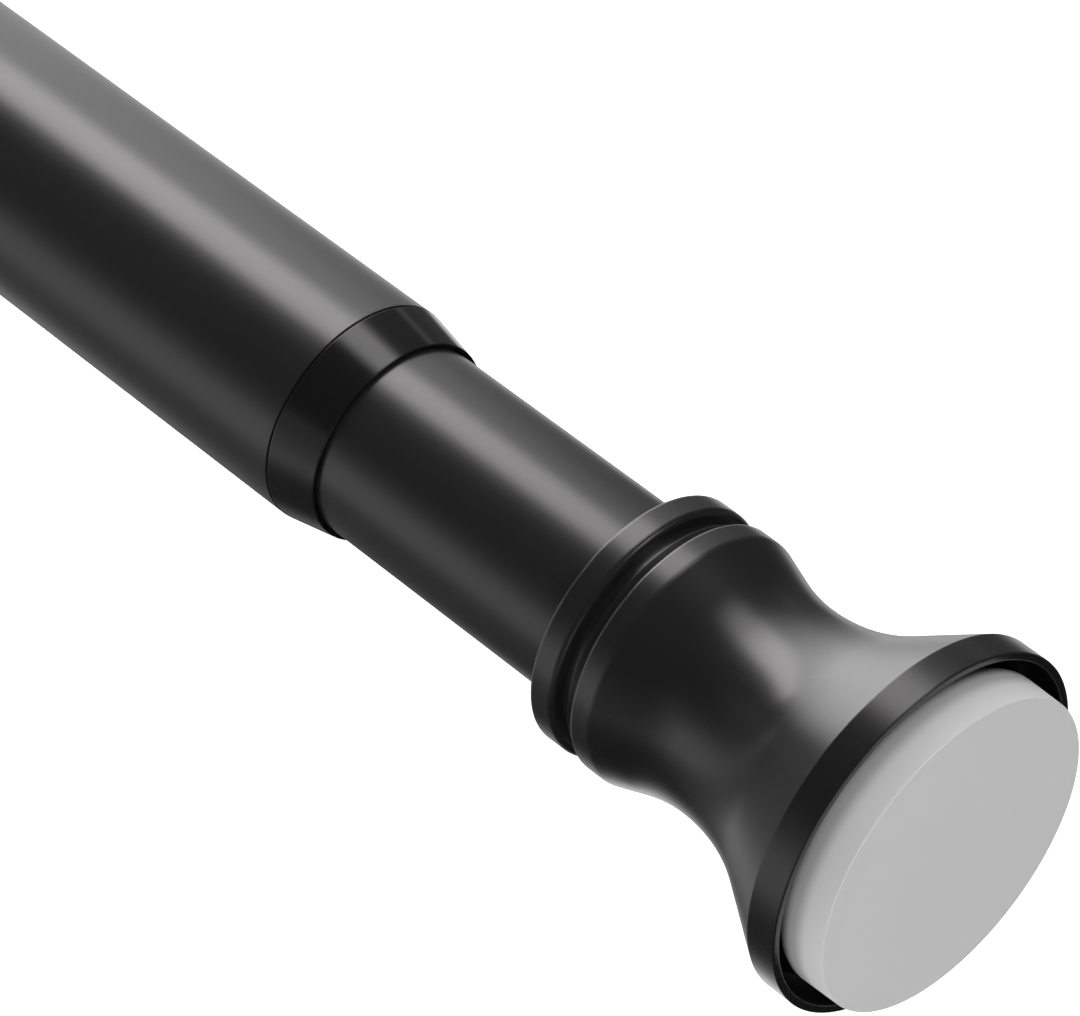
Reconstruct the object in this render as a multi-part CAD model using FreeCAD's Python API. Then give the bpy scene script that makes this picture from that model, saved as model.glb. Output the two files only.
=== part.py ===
"""Telescoping spring tension rod for a curtain, in millimetres.

The rod lies along X with +Z up. The origin is the centre of the fixed end's wall face.
A twist of the inner tube turns a hexagonal shaft and a stud, which draws a cone nut into a
split sleeve, so the sleeve grips the outer tube. A spring between the shaft and the inner
tube then pushes the moving end against the wall.
"""
import FreeCAD
import Part
import math
import os

# Small rounded edges
ROUND_FLATS = 2
MOULDED_EDGE_ROUND = 0.3

# Tubes
OUTER_TUBE_D = 25.4
OUTER_TUBE_WALL = 0.7
OUTER_TUBE_LENGTH = 542.2
INNER_TUBE_D = 22.0
INNER_TUBE_WALL = 0.6
INNER_TUBE_LENGTH = 430.0
INNER_TUBE_SHOWN = 34.4

# Rolled crimps in the inner tube
CRIMP_DEPTH = 0.5
CRIMP_WIDTH = 2.4
CRIMP_CLEARANCE = 0.1

# Collar in the outer tube's mouth
COLLAR_NOSE_LENGTH = 5.9
COLLAR_MOUTH_WALL = 0.4
COLLAR_SKIRT_LENGTH = 20.0
COLLAR_RUNNING_CLEARANCE = 0.15
COLLAR_MOUTH_CHAMFER = 0.2
COLLAR_LEAD_IN = 0.5
COLLAR_SEAM_WIDTH = 0.18
COLLAR_SEAM_DEPTH = 0.4

# Wall pads
PAD_D = 35.3
PAD_TAPER = 0.15
PAD_EDGE_ROUND = 0.7
PAD_STANDS_PROUD = 3.75
PAD_STEM_LENGTH = 2.7
PAD_STEM_CLEARANCE = 0.1

# Bell-shaped end caps
RIM_D = 40.2
RIM_WALL = 0.85
RIM_LENGTH = 3.4
RIM_LIP_ROUND = 0.15
RIM_REAR_ROUND = 0.3
FLARE_ANGLE = 33.0
FLARE_SWEEP_R = 20.0
NECK_WALL = 1.1
NECK_LAND = 0.08
REAR_SWEEP_R = 16.5
REAR_ANGLE = 19.0
BAND_HEIGHT = 3.3
BAND_LENGTH = 2.55
BAND_FRONT_ROUND = 2.2
BAND_REAR_ROUND = 0.15
RECESS_DEPTH = 3.75
POCKET_DEPTH = 8.0
POCKET_COUNT = 8
POCKET_WALL = 1.7
POCKET_RIB = 1.4
SOCKET_WEB = 3.5
HUB_R = 8.2
HUB_DRAFT = 0.4
TUBE_FIT = 0.05

# Stepped rings behind the bells
RING_BEAD_LENGTH = 1.35
RING_BEAD_DROP = 0.8
RING_BEAD_ROUND = 0.4
RING_GROOVE_LENGTH = 1.1
RING_GROOVE_DROP = 1.6
RING_FLANGE_LENGTH = 3.1
RING_FLANGE_FRONT_ROUND = 0.6
RING_FLANGE_REAR_ROUND = 0.15
RING_SPIGOT_LENGTH = 4.2
RING_SPIGOT_WALL = 1.15
SPIGOT_CLEARANCE = 0.05

# Cap screws
SCREW_HEAD_D = 9.6
SCREW_HEAD_HEIGHT = 2.6
SCREW_HEAD_ROUND = 1.1
SCREW_SHANK_D = 4.0
SCREW_LENGTH = 18.0
SCREW_POINT = 2.4
SCREW_SEAT_DEPTH = 5.5
SCREW_HEAD_CLEARANCE = 0.7
SCREW_HOLE_CLEARANCE = 0.1
DRIVE_SLOT = 0.9
DRIVE_SPAN = 4.6
DRIVE_DEPTH = 1.5

# Ribbed plugs in the tube ends
PLUG_LENGTH = 16.0
PLUG_RIM_WALL = 1.6
PLUG_BOSS_R = 4.2
PLUG_WEB = 1.4
PLUG_WEB_COUNT = 6
PLUG_CLEARANCE = 0.04
PLUG_PILOT_CLEARANCE = 0.04

# Split sleeve that grips the outer tube's bore
SLEEVE_LENGTH = 34.0
SLEEVE_CLEARANCE = 0.1
SLEEVE_FRONT_WALL = 4.0
SLEEVE_BORE_R = 7.2
SLEEVE_MOUTH_R = 9.8
SLEEVE_SLIT = 2.4
SLEEVE_SLIT_COUNT = 4
SLEEVE_LEAD_CHAMFER = 0.8
CONE_ANGLE = 12.0

# Cone nut
NUT_LENGTH = 14.0
NUT_TRAVEL = 4.5
NUT_CONE_CLEARANCE = 0.1
NUT_KEY_LENGTH = 8.0
NUT_KEY_SETBACK = 1.0
NUT_KEY_CLEARANCE = 0.2
NUT_KEY_DEPTH_CLEARANCE = 0.5

# Stud and its stop ring
STUD_D = 5.9
STUD_RUNNING_CLEARANCE = 0.05
STUD_TAIL = 8.0
STUD_TIP_CHAMFER = 0.6
STUD_ANCHOR = 12.0
STUD_ANCHOR_CLEARANCE = 0.02
STOP_RING_D = 10.6
STOP_RING_THICKNESS = 1.2
STOP_RING_SETBACK = 1.4

# Hexagonal shaft
HEX_WIDTH = 9.0
HEX_CHAMFER = 0.4
SHAFT_FLANGE_D = 19.6
SHAFT_FLANGE_THICKNESS = 3.0
SHAFT_FLANGE_GAP = 0.2
SHAFT_SHOWN = 22.0
SHAFT_SPIGOT_D = 7.0
SHAFT_SPIGOT_TAIL = 1.5

# Guide bush in the inner tube's rear end
BUSH_LENGTH = 18.0
BUSH_FLANGE = 1.5
BUSH_FLANGE_DROP = 0.1
BUSH_CLEARANCE = 0.05
BUSH_HEX_CLEARANCE = 0.15

# Spring, its follower and its seat
SPRING_LENGTH = 85.0
SPRING_WIRE = 1.6
SPRING_MEAN_D = 16.0
SPRING_TURNS = 12
SPRING_STEPS = 16
SPRING_SIDES = 6
SPRING_END_GAP = 0.05
FOLLOWER_D = 19.6
FOLLOWER_THICKNESS = 3.0
FOLLOWER_BUSH_GAP = 0.1
FOLLOWER_BORE_CLEARANCE = 0.03
HUB_FOR_SPRING_LENGTH = 6.0
HUB_FOR_SPRING_CLEARANCE = 0.9
RETAINER_D = 11.4
RETAINER_THICKNESS = 0.8
SEAT_LENGTH = 10.0

# Sizes that follow from the ones above
OUTER_R = OUTER_TUBE_D / 2
INNER_R = INNER_TUBE_D / 2
OUTER_BORE_R = OUTER_R - OUTER_TUBE_WALL
INNER_BORE_R = INNER_R - INNER_TUBE_WALL
RIM_R = RIM_D / 2
RECESS_FLOOR = PAD_STANDS_PROUD + RECESS_DEPTH
SOCKET_FLOOR = RECESS_FLOOR + POCKET_DEPTH + SOCKET_WEB
FLARE_CORNER = PAD_STANDS_PROUD + RIM_LENGTH
STUD_R = STUD_D / 2
STUD_BORE_R = STUD_R + STUD_RUNNING_CLEARANCE
SCREW_SEAT = RECESS_FLOOR + SCREW_SEAT_DEPTH
SCREW_SEAT_R = SCREW_HEAD_D / 2 + SCREW_HEAD_CLEARANCE


def eased(corner, before, after, size):
    """A corner's small rounding, as a few flats between its two sides."""
    half = before.getAngle(after) / 2
    middle = corner + (before + after).normalize() * (size / math.sin(half))
    turn = math.pi - 2 * half
    outward = (corner - middle).normalize()
    side = before - outward * before.dot(outward)
    side.normalize()
    points = []
    for k in range(ROUND_FLATS + 1):
        angle = turn / 2 - turn * k / ROUND_FLATS
        points.append(middle + (outward * math.cos(angle) + side * math.sin(angle)) * size)
    return points


def revolved(*corners):
    """A solid turned about the X axis.

    A corner is (x, radius), (x, radius, rounding) or (x, radius, 0, sweep), where a sweep is a
    large arc and a rounding a small edge made of a few flats.
    """
    count = len(corners)
    points = [FreeCAD.Vector(corner[0], 0, corner[1]) for corner in corners]
    edges = []
    pens = []
    for i, point in enumerate(points):
        before = (points[i - 1] - point).normalize()
        after = (points[(i + 1) % count] - point).normalize()
        if len(corners[i]) == 4:
            sweep = corners[i][3]
            half = before.getAngle(after) / 2
            start = point + before * (sweep / math.tan(half))
            end = point + after * (sweep / math.tan(half))
            through = point + (before + after).normalize() * (sweep / math.sin(half) - sweep)
            edges.append(Part.Arc(start, through, end).toShape())
            pens.append([start, end])
        elif len(corners[i]) == 3:
            flats = eased(point, before, after, corners[i][2])
            edges += [Part.LineSegment(a, b).toShape() for a, b in zip(flats, flats[1:])]
            pens.append([flats[0], flats[-1]])
        else:
            pens.append([point, point])
    for i in range(count):
        edges.append(Part.LineSegment(pens[i][1], pens[(i + 1) % count][0]).toShape())
    wire = Part.Wire(Part.__sortEdges__(edges))
    turned = Part.Face(wire).revolve(FreeCAD.Vector(), FreeCAD.Vector(1, 0, 0), 360)
    return Part.Solid(turned)


def rod(start, end, radius):
    """A plain cylinder along X."""
    return Part.makeCylinder(radius, end - start, FreeCAD.Vector(start, 0, 0), FreeCAD.Vector(1, 0, 0))


def beam(start, end, width, low, high):
    """A box along X, centred on Y, from one height to another."""
    return Part.makeBox(end - start, width, high - low, FreeCAD.Vector(start, -width / 2, low))


def hexagon(start, end, flats):
    """A hexagonal bar along X."""
    corner_r = flats / math.sqrt(3)
    corners = [
        FreeCAD.Vector(start, corner_r * math.cos(math.pi * k / 3), corner_r * math.sin(math.pi * k / 3))
        for k in range(7)
    ]
    return Part.Face(Part.makePolygon(corners)).extrude(FreeCAD.Vector(end - start, 0, 0))


def around(shape, count):
    """Copies of a shape spaced evenly about the X axis."""
    copies = []
    for k in range(count):
        copy = shape.copy()
        copy.rotate(FreeCAD.Vector(), FreeCAD.Vector(1, 0, 0), 360 * k / count)
        copies.append(copy)
    return copies


def at_moving_end(shape):
    """An end piece, drawn at the fixed end, turned round and put at the other end of the rod."""
    copy = shape.copy()
    copy.rotate(FreeCAD.Vector(), FreeCAD.Vector(0, 0, 1), 180)
    copy.translate(FreeCAD.Vector(REST_LENGTH, 0, 0))
    return copy


def flare_radius(x):
    """Radius of the bell's straight flare at a distance from the wall face."""
    return RIM_R - (x - FLARE_CORNER) * math.tan(math.radians(FLARE_ANGLE))


def bell_stations(tube_r):
    """Where the bell's outline turns: flare foot, rear slope foot, band front and back face."""
    neck_r = tube_r + TUBE_FIT + NECK_WALL
    flare = math.radians(FLARE_ANGLE)
    rear = math.radians(REAR_ANGLE)
    flare_foot = FLARE_CORNER + (RIM_R - neck_r) / math.tan(flare)
    sweeps = FLARE_SWEEP_R * math.tan(flare / 2) + REAR_SWEEP_R * math.tan(rear / 2)
    rear_foot = flare_foot + sweeps + NECK_LAND
    band_front = rear_foot + (tube_r + BAND_HEIGHT - neck_r) / math.tan(rear)
    return flare_foot, rear_foot, band_front, band_front + BAND_LENGTH


def cap_end(tube_r):
    """How far a whole end cap with its ring reaches from the wall face."""
    return bell_stations(tube_r)[3] + RING_BEAD_LENGTH + RING_GROOVE_LENGTH + RING_FLANGE_LENGTH


def rib_pockets():
    """The pockets that core the flare out behind the pad, with a rib between each two."""
    floor = RECESS_FLOOR + POCKET_DEPTH
    ring = revolved(
        (RECESS_FLOOR, HUB_R),
        (RECESS_FLOOR, flare_radius(RECESS_FLOOR) - POCKET_WALL),
        (floor, flare_radius(floor) - POCKET_WALL),
        (floor, HUB_R + HUB_DRAFT),
    )
    ribs = around(beam(RECESS_FLOOR, floor, POCKET_RIB, 0, RIM_R), POCKET_COUNT)
    return ring.cut(ribs)


def end_cap(tube_r):
    """The bell-shaped moulding: rim and pad recess, ribbed flare, neck and tube socket."""
    flare_foot, rear_foot, band_front, back = bell_stations(tube_r)
    neck_r = tube_r + TUBE_FIT + NECK_WALL
    band_r = tube_r + BAND_HEIGHT
    bore_r = tube_r + TUBE_FIT
    spigot_r = bore_r + RING_SPIGOT_WALL + SPIGOT_CLEARANCE
    spigot_floor = back - RING_SPIGOT_LENGTH - SPIGOT_CLEARANCE
    hole_r = SCREW_SHANK_D / 2 + SCREW_HOLE_CLEARANCE
    bell = revolved(
        (PAD_STANDS_PROUD, RIM_R - RIM_WALL),
        (PAD_STANDS_PROUD, RIM_R, RIM_LIP_ROUND),
        (FLARE_CORNER, RIM_R, RIM_REAR_ROUND),
        (flare_foot, neck_r, 0, FLARE_SWEEP_R),
        (rear_foot, neck_r, 0, REAR_SWEEP_R),
        (band_front, band_r, BAND_FRONT_ROUND),
        (back, band_r, BAND_REAR_ROUND),
        (back, spigot_r),
        (spigot_floor, spigot_r),
        (spigot_floor, bore_r),
        (SOCKET_FLOOR, bore_r),
        (SOCKET_FLOOR, hole_r),
        (SCREW_SEAT, hole_r),
        (SCREW_SEAT, SCREW_SEAT_R),
        (RECESS_FLOOR, SCREW_SEAT_R),
        (RECESS_FLOOR, RIM_R - RIM_WALL),
    )
    return bell.cut(rib_pockets())


def cap_ring(tube_r):
    """The ring behind a bell: a bead, a groove and a flange, with a spigot in the bell's back."""
    back = bell_stations(tube_r)[3]
    band_r = tube_r + BAND_HEIGHT
    bead_r = band_r - RING_BEAD_DROP
    groove_r = band_r - RING_GROOVE_DROP
    bore_r = tube_r + TUBE_FIT
    spigot_r = bore_r + RING_SPIGOT_WALL
    groove_start = back + RING_BEAD_LENGTH
    flange_start = groove_start + RING_GROOVE_LENGTH
    flange_end = flange_start + RING_FLANGE_LENGTH
    return revolved(
        (back - RING_SPIGOT_LENGTH, bore_r),
        (back - RING_SPIGOT_LENGTH, spigot_r),
        (back, spigot_r),
        (back, bead_r, RING_BEAD_ROUND),
        (groove_start, bead_r, RING_BEAD_ROUND),
        (groove_start, groove_r),
        (flange_start, groove_r),
        (flange_start, band_r, RING_FLANGE_FRONT_ROUND),
        (flange_end, band_r, RING_FLANGE_REAR_ROUND),
        (flange_end, bore_r),
    )


def wall_pad():
    """The rubber disc that grips the wall, with a stem in the cap's hub."""
    pad_r = PAD_D / 2
    stem_r = SCREW_SEAT_R - PAD_STEM_CLEARANCE
    return revolved(
        (0, 0),
        (0, pad_r - PAD_TAPER, PAD_EDGE_ROUND),
        (RECESS_FLOOR, pad_r),
        (RECESS_FLOOR, stem_r),
        (RECESS_FLOOR + PAD_STEM_LENGTH, stem_r),
        (RECESS_FLOOR + PAD_STEM_LENGTH, 0),
    )


def cap_screw():
    """Pan head screw that pulls the cap onto the tube's plug."""
    shank_r = SCREW_SHANK_D / 2
    top = SCREW_SEAT - SCREW_HEAD_HEIGHT
    tip = SCREW_SEAT + SCREW_LENGTH
    screw = revolved(
        (top, 0),
        (top, SCREW_HEAD_D / 2, SCREW_HEAD_ROUND),
        (SCREW_SEAT, SCREW_HEAD_D / 2),
        (SCREW_SEAT, shank_r),
        (tip - SCREW_POINT, shank_r),
        (tip, 0),
    )
    slot = beam(top, top + DRIVE_DEPTH, DRIVE_SLOT, -DRIVE_SPAN / 2, DRIVE_SPAN / 2)
    return screw.cut([slot, around(slot, 4)[1]])


def tube_plug(bore_r):
    """Ribbed plug in a tube's end: a rim, a boss for the screw and webs between them."""
    end = SOCKET_FLOOR + PLUG_LENGTH
    rim_r = bore_r - PLUG_CLEARANCE
    pilot_r = SCREW_SHANK_D / 2 + PLUG_PILOT_CLEARANCE
    rim = rod(SOCKET_FLOOR, end, rim_r).cut(rod(SOCKET_FLOOR, end, rim_r - PLUG_RIM_WALL))
    boss = rod(SOCKET_FLOOR, end, PLUG_BOSS_R)
    overlap = PLUG_RIM_WALL / 2
    web = beam(SOCKET_FLOOR, end, PLUG_WEB, PLUG_BOSS_R - overlap, rim_r - overlap)
    body = boss.fuse([rim, *around(web, PLUG_WEB_COUNT)]).removeSplitter()
    return body.cut(rod(SOCKET_FLOOR, end, pilot_r))


def outer_tube():
    """Large tube, seated on the floor of the fixed cap's socket."""
    end = SOCKET_FLOOR + OUTER_TUBE_LENGTH
    return rod(SOCKET_FLOOR, end, OUTER_R).cut(rod(SOCKET_FLOOR, end, OUTER_BORE_R))


def mouth_collar():
    """Tapered nose on the outer tube's mouth, with a skirt inside the tube."""
    seam = SOCKET_FLOOR + OUTER_TUBE_LENGTH
    mouth = seam + COLLAR_NOSE_LENGTH
    bore_r = INNER_R + COLLAR_RUNNING_CLEARANCE
    skirt_r = OUTER_BORE_R - PLUG_CLEARANCE
    rear = seam - COLLAR_SKIRT_LENGTH
    nose_slope = (OUTER_R - bore_r - COLLAR_MOUTH_WALL) / COLLAR_NOSE_LENGTH
    return revolved(
        (rear, bore_r),
        (rear, skirt_r - COLLAR_LEAD_IN),
        (rear + COLLAR_LEAD_IN, skirt_r),
        (seam, skirt_r),
        (seam, OUTER_R - COLLAR_SEAM_DEPTH),
        (seam + COLLAR_SEAM_WIDTH, OUTER_R - COLLAR_SEAM_DEPTH),
        (seam + COLLAR_SEAM_WIDTH, OUTER_R - COLLAR_SEAM_WIDTH * nose_slope),
        (mouth, bore_r + COLLAR_MOUTH_WALL),
        (mouth, bore_r + COLLAR_MOUTH_CHAMFER),
        (mouth - COLLAR_MOUTH_CHAMFER, bore_r),
    )


def crimp(middle, surface_r):
    """Corners of a rolled groove in a surface, from its rear to its front."""
    half = CRIMP_WIDTH / 2
    floor_r = surface_r - CRIMP_DEPTH
    floor_half = half - CRIMP_DEPTH
    return [
        (middle - half, surface_r),
        (middle - floor_half, floor_r),
        (middle + floor_half, floor_r),
        (middle + half, surface_r),
    ]


def inner_tube():
    """Small tube with one rolled crimp for the guide bush and one for the spring seat."""
    outside = crimp(BUSH_CRIMP, INNER_R) + crimp(SEAT_CRIMP, INNER_R)
    inside = crimp(BUSH_CRIMP, INNER_BORE_R) + crimp(SEAT_CRIMP, INNER_BORE_R)
    return revolved(
        (INNER_TUBE_REAR, INNER_BORE_R),
        (INNER_TUBE_REAR, INNER_R),
        *outside,
        (INNER_TUBE_FRONT, INNER_R),
        (INNER_TUBE_FRONT, INNER_BORE_R),
        *reversed(inside),
    )


def crimped_body_r():
    """Radius of the pieces that slide into the inner tube before it is crimped."""
    return INNER_BORE_R - BUSH_CLEARANCE


def crimp_seat(middle):
    """The groove that a crimp is rolled into, with room for the tube's wall."""
    half = CRIMP_WIDTH / 2 + CRIMP_CLEARANCE
    floor_half = half - CRIMP_DEPTH
    body_r = crimped_body_r()
    floor_r = body_r - CRIMP_DEPTH - CRIMP_CLEARANCE
    return [
        (middle - half, body_r),
        (middle - floor_half, floor_r),
        (middle + floor_half, floor_r),
        (middle + half, body_r),
    ]


def guide_bush():
    """Bush in the inner tube's rear end, with the hexagonal bore that turns the shaft."""
    flange = INNER_TUBE_REAR - BUSH_FLANGE
    front = INNER_TUBE_REAR + BUSH_LENGTH
    body = revolved(
        (flange, 0),
        (flange, INNER_R - BUSH_FLANGE_DROP),
        (INNER_TUBE_REAR, INNER_R - BUSH_FLANGE_DROP),
        (INNER_TUBE_REAR, crimped_body_r()),
        *crimp_seat(BUSH_CRIMP),
        (front, crimped_body_r()),
        (front, 0),
    )
    return body.cut(hexagon(flange, front, HEX_WIDTH + 2 * BUSH_HEX_CLEARANCE))


def spring_hub_r():
    """Radius of the hubs that centre the spring at its ends."""
    return (SPRING_MEAN_D - SPRING_WIRE) / 2 - HUB_FOR_SPRING_CLEARANCE


def spring_seat():
    """Plug crimped into the inner tube, which takes the spring's push."""
    return revolved(
        (SEAT_FACE - HUB_FOR_SPRING_LENGTH, 0),
        (SEAT_FACE - HUB_FOR_SPRING_LENGTH, spring_hub_r(), MOULDED_EDGE_ROUND),
        (SEAT_FACE, spring_hub_r()),
        (SEAT_FACE, crimped_body_r()),
        *crimp_seat(SEAT_CRIMP),
        (SEAT_FACE + SEAT_LENGTH, crimped_body_r()),
        (SEAT_FACE + SEAT_LENGTH, 0),
    )


def spring_follower():
    """Flanged disc on the shaft's spigot that carries the spring's other end."""
    hub_end = FOLLOWER_REAR + FOLLOWER_THICKNESS + HUB_FOR_SPRING_LENGTH
    bore_r = SHAFT_SPIGOT_D / 2 + FOLLOWER_BORE_CLEARANCE
    return revolved(
        (FOLLOWER_REAR, bore_r),
        (FOLLOWER_REAR, FOLLOWER_D / 2, MOULDED_EDGE_ROUND),
        (FOLLOWER_REAR + FOLLOWER_THICKNESS, FOLLOWER_D / 2, MOULDED_EDGE_ROUND),
        (FOLLOWER_REAR + FOLLOWER_THICKNESS, spring_hub_r()),
        (hub_end, spring_hub_r(), MOULDED_EDGE_ROUND),
        (hub_end, bore_r),
    )


def follower_retainer():
    """Push-on ring that holds the follower on the spigot."""
    rear = FOLLOWER_REAR + FOLLOWER_THICKNESS + HUB_FOR_SPRING_LENGTH
    ring = rod(rear, rear + RETAINER_THICKNESS, RETAINER_D / 2)
    return ring.cut(rod(rear, rear + RETAINER_THICKNESS, SHAFT_SPIGOT_D / 2 + FOLLOWER_BORE_CLEARANCE))


def hex_shaft():
    """Hexagonal shaft with a thrust flange behind and a spigot in front."""
    flange_front = SHAFT_REAR + SHAFT_FLANGE_THICKNESS
    spigot_end = FOLLOWER_REAR + FOLLOWER_THICKNESS + HUB_FOR_SPRING_LENGTH
    spigot_end += RETAINER_THICKNESS + SHAFT_SPIGOT_TAIL
    flange = revolved(
        (SHAFT_REAR, 0),
        (SHAFT_REAR, SHAFT_FLANGE_D / 2, MOULDED_EDGE_ROUND),
        (flange_front, SHAFT_FLANGE_D / 2, MOULDED_EDGE_ROUND),
        (flange_front, 0),
    )
    bar = hexagon(flange_front, FOLLOWER_REAR, HEX_WIDTH)
    spigot = revolved(
        (FOLLOWER_REAR, 0),
        (FOLLOWER_REAR, SHAFT_SPIGOT_D / 2),
        (spigot_end - HEX_CHAMFER, SHAFT_SPIGOT_D / 2),
        (spigot_end, SHAFT_SPIGOT_D / 2 - HEX_CHAMFER),
        (spigot_end, 0),
    )
    shaft = bar.fuse([flange, spigot])
    return shaft.cut(rod(SHAFT_REAR, SHAFT_REAR + STUD_ANCHOR, STUD_R + STUD_ANCHOR_CLEARANCE))


def lock_stud():
    """Stud moulded into the shaft; it runs through the sleeve and the cone nut."""
    rear = STOP_RING_REAR - STOP_RING_SETBACK
    return revolved(
        (rear, 0),
        (rear, STUD_R - STUD_TIP_CHAMFER),
        (rear + STUD_TIP_CHAMFER, STUD_R),
        (SHAFT_REAR + STUD_ANCHOR, STUD_R),
        (SHAFT_REAR + STUD_ANCHOR, 0),
    )


def stud_stop_ring():
    """Ring pressed on the stud's tail, so that the nut can't run off."""
    ring = rod(STOP_RING_REAR, STOP_RING_REAR + STOP_RING_THICKNESS, STOP_RING_D / 2)
    bore_r = STUD_R + STUD_ANCHOR_CLEARANCE
    return ring.cut(rod(STOP_RING_REAR, STOP_RING_REAR + STOP_RING_THICKNESS, bore_r))


def expander_sleeve():
    """Split barrel: a front wall on the stud and four leaves that a cone spreads."""
    front = SLEEVE_REAR + SLEEVE_LENGTH
    wall_rear = front - SLEEVE_FRONT_WALL
    sleeve_r = OUTER_BORE_R - SLEEVE_CLEARANCE
    cone_depth = (SLEEVE_MOUTH_R - SLEEVE_BORE_R) / math.tan(math.radians(CONE_ANGLE))
    barrel = revolved(
        (SLEEVE_REAR, SLEEVE_MOUTH_R),
        (SLEEVE_REAR, sleeve_r - SLEEVE_LEAD_CHAMFER),
        (SLEEVE_REAR + SLEEVE_LEAD_CHAMFER, sleeve_r),
        (front - SLEEVE_LEAD_CHAMFER, sleeve_r),
        (front, sleeve_r - SLEEVE_LEAD_CHAMFER),
        (front, STUD_BORE_R),
        (wall_rear, STUD_BORE_R),
        (wall_rear, SLEEVE_BORE_R),
        (SLEEVE_REAR + cone_depth, SLEEVE_BORE_R),
    )
    slit_end = wall_rear - SLEEVE_FRONT_WALL
    slits = around(beam(SLEEVE_REAR, slit_end, SLEEVE_SLIT, 0, OUTER_R), SLEEVE_SLIT_COUNT)
    return barrel.cut(slits)


def wedge_nut():
    """Cone nut with a key in each slit, drawn back by its travel from where it grips."""
    slope = math.tan(math.radians(CONE_ANGLE))
    rear = SLEEVE_REAR + NUT_CONE_CLEARANCE / slope - NUT_TRAVEL
    front = rear + NUT_LENGTH
    rear_r = SLEEVE_MOUTH_R - 2 * NUT_CONE_CLEARANCE
    cone = revolved(
        (rear, STUD_BORE_R),
        (rear, rear_r),
        (front, rear_r - NUT_LENGTH * slope),
        (front, STUD_BORE_R),
    )
    key_rear = rear + NUT_KEY_SETBACK
    key_top = OUTER_BORE_R - NUT_KEY_DEPTH_CLEARANCE
    key_width = SLEEVE_SLIT - 2 * NUT_KEY_CLEARANCE
    key_foot = (STUD_BORE_R + rear_r - NUT_LENGTH * slope) / 2
    key = beam(key_rear, key_rear + NUT_KEY_LENGTH, key_width, key_foot, key_top)
    return cone.fuse(around(key, SLEEVE_SLIT_COUNT)).removeSplitter()


def spring_rise(turn):
    """Height of the wire's centre after a number of turns: closed end turns, open between."""
    closed = SPRING_WIRE + SPRING_END_GAP
    start = SPRING_WIRE / 2 + SPRING_END_GAP
    open_pitch = (SPRING_LENGTH - 2 * start - 2 * closed) / (SPRING_TURNS - 2)
    open_turns = min(max(turn - 1, 0), SPRING_TURNS - 2)
    return start + closed * (turn - open_turns) + open_pitch * open_turns


def spring_section(turn):
    """The wire's section after a number of turns."""
    angle = 2 * math.pi * turn
    outward = FreeCAD.Vector(0, math.cos(angle), math.sin(angle))
    along = FreeCAD.Vector(1, 0, 0)
    rise = spring_rise(turn)
    centre = outward * (SPRING_MEAN_D / 2) + along * (FOLLOWER_REAR + FOLLOWER_THICKNESS + rise)
    corners = []
    for k in range(SPRING_SIDES + 1):
        side = 2 * math.pi * k / SPRING_SIDES
        corner = outward * math.cos(side) + along * math.sin(side)
        corners.append(centre + corner * (SPRING_WIRE / 2))
    return Part.makePolygon(corners)


def compression_spring():
    """Coil spring between the follower and the seat."""
    steps = SPRING_TURNS * SPRING_STEPS
    sections = [spring_section(k / SPRING_STEPS) for k in range(steps + 1)]
    return Part.makeLoft(sections, True, True)


# Places along the rod at rest
COLLAR_MOUTH = SOCKET_FLOOR + OUTER_TUBE_LENGTH + COLLAR_NOSE_LENGTH
REST_LENGTH = COLLAR_MOUTH + INNER_TUBE_SHOWN + cap_end(INNER_R)
INNER_TUBE_FRONT = REST_LENGTH - SOCKET_FLOOR
INNER_TUBE_REAR = INNER_TUBE_FRONT - INNER_TUBE_LENGTH
BUSH_CRIMP = INNER_TUBE_REAR + BUSH_LENGTH / 2
FOLLOWER_REAR = INNER_TUBE_REAR + BUSH_LENGTH + FOLLOWER_BUSH_GAP
SEAT_FACE = FOLLOWER_REAR + FOLLOWER_THICKNESS + SPRING_LENGTH
SEAT_CRIMP = SEAT_FACE + SEAT_LENGTH / 2
SHAFT_REAR = INNER_TUBE_REAR - BUSH_FLANGE - SHAFT_SHOWN - SHAFT_FLANGE_THICKNESS
SLEEVE_REAR = SHAFT_REAR - SHAFT_FLANGE_GAP - SLEEVE_LENGTH
STOP_RING_REAR = SLEEVE_REAR - STUD_TAIL


def pieces():
    """Every piece of the rod, by name."""
    return {
        "outer_tube": outer_tube(),
        "mouth_collar": mouth_collar(),
        "fixed_cap_ring": cap_ring(OUTER_R),
        "fixed_end_cap": end_cap(OUTER_R),
        "fixed_tube_plug": tube_plug(OUTER_BORE_R),
        "fixed_cap_screw": cap_screw(),
        "fixed_wall_pad": wall_pad(),
        "inner_tube": inner_tube(),
        "moving_cap_ring": at_moving_end(cap_ring(INNER_R)),
        "moving_end_cap": at_moving_end(end_cap(INNER_R)),
        "moving_tube_plug": at_moving_end(tube_plug(INNER_BORE_R)),
        "moving_cap_screw": at_moving_end(cap_screw()),
        "moving_wall_pad": at_moving_end(wall_pad()),
        "guide_bush": guide_bush(),
        "spring_seat": spring_seat(),
        "compression_spring": compression_spring(),
        "spring_follower": spring_follower(),
        "follower_retainer": follower_retainer(),
        "hex_shaft": hex_shaft(),
        "lock_stud": lock_stud(),
        "stud_stop_ring": stud_stop_ring(),
        "expander_sleeve": expander_sleeve(),
        "wedge_nut": wedge_nut(),
    }


os.makedirs("parts", exist_ok=True)
for name, shape in pieces().items():
    shape.exportStep(f"parts/{name}.step")
print(f"rest length {REST_LENGTH:.2f} mm")
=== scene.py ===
import math

import bpy
from mathutils import Matrix, Vector


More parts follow.
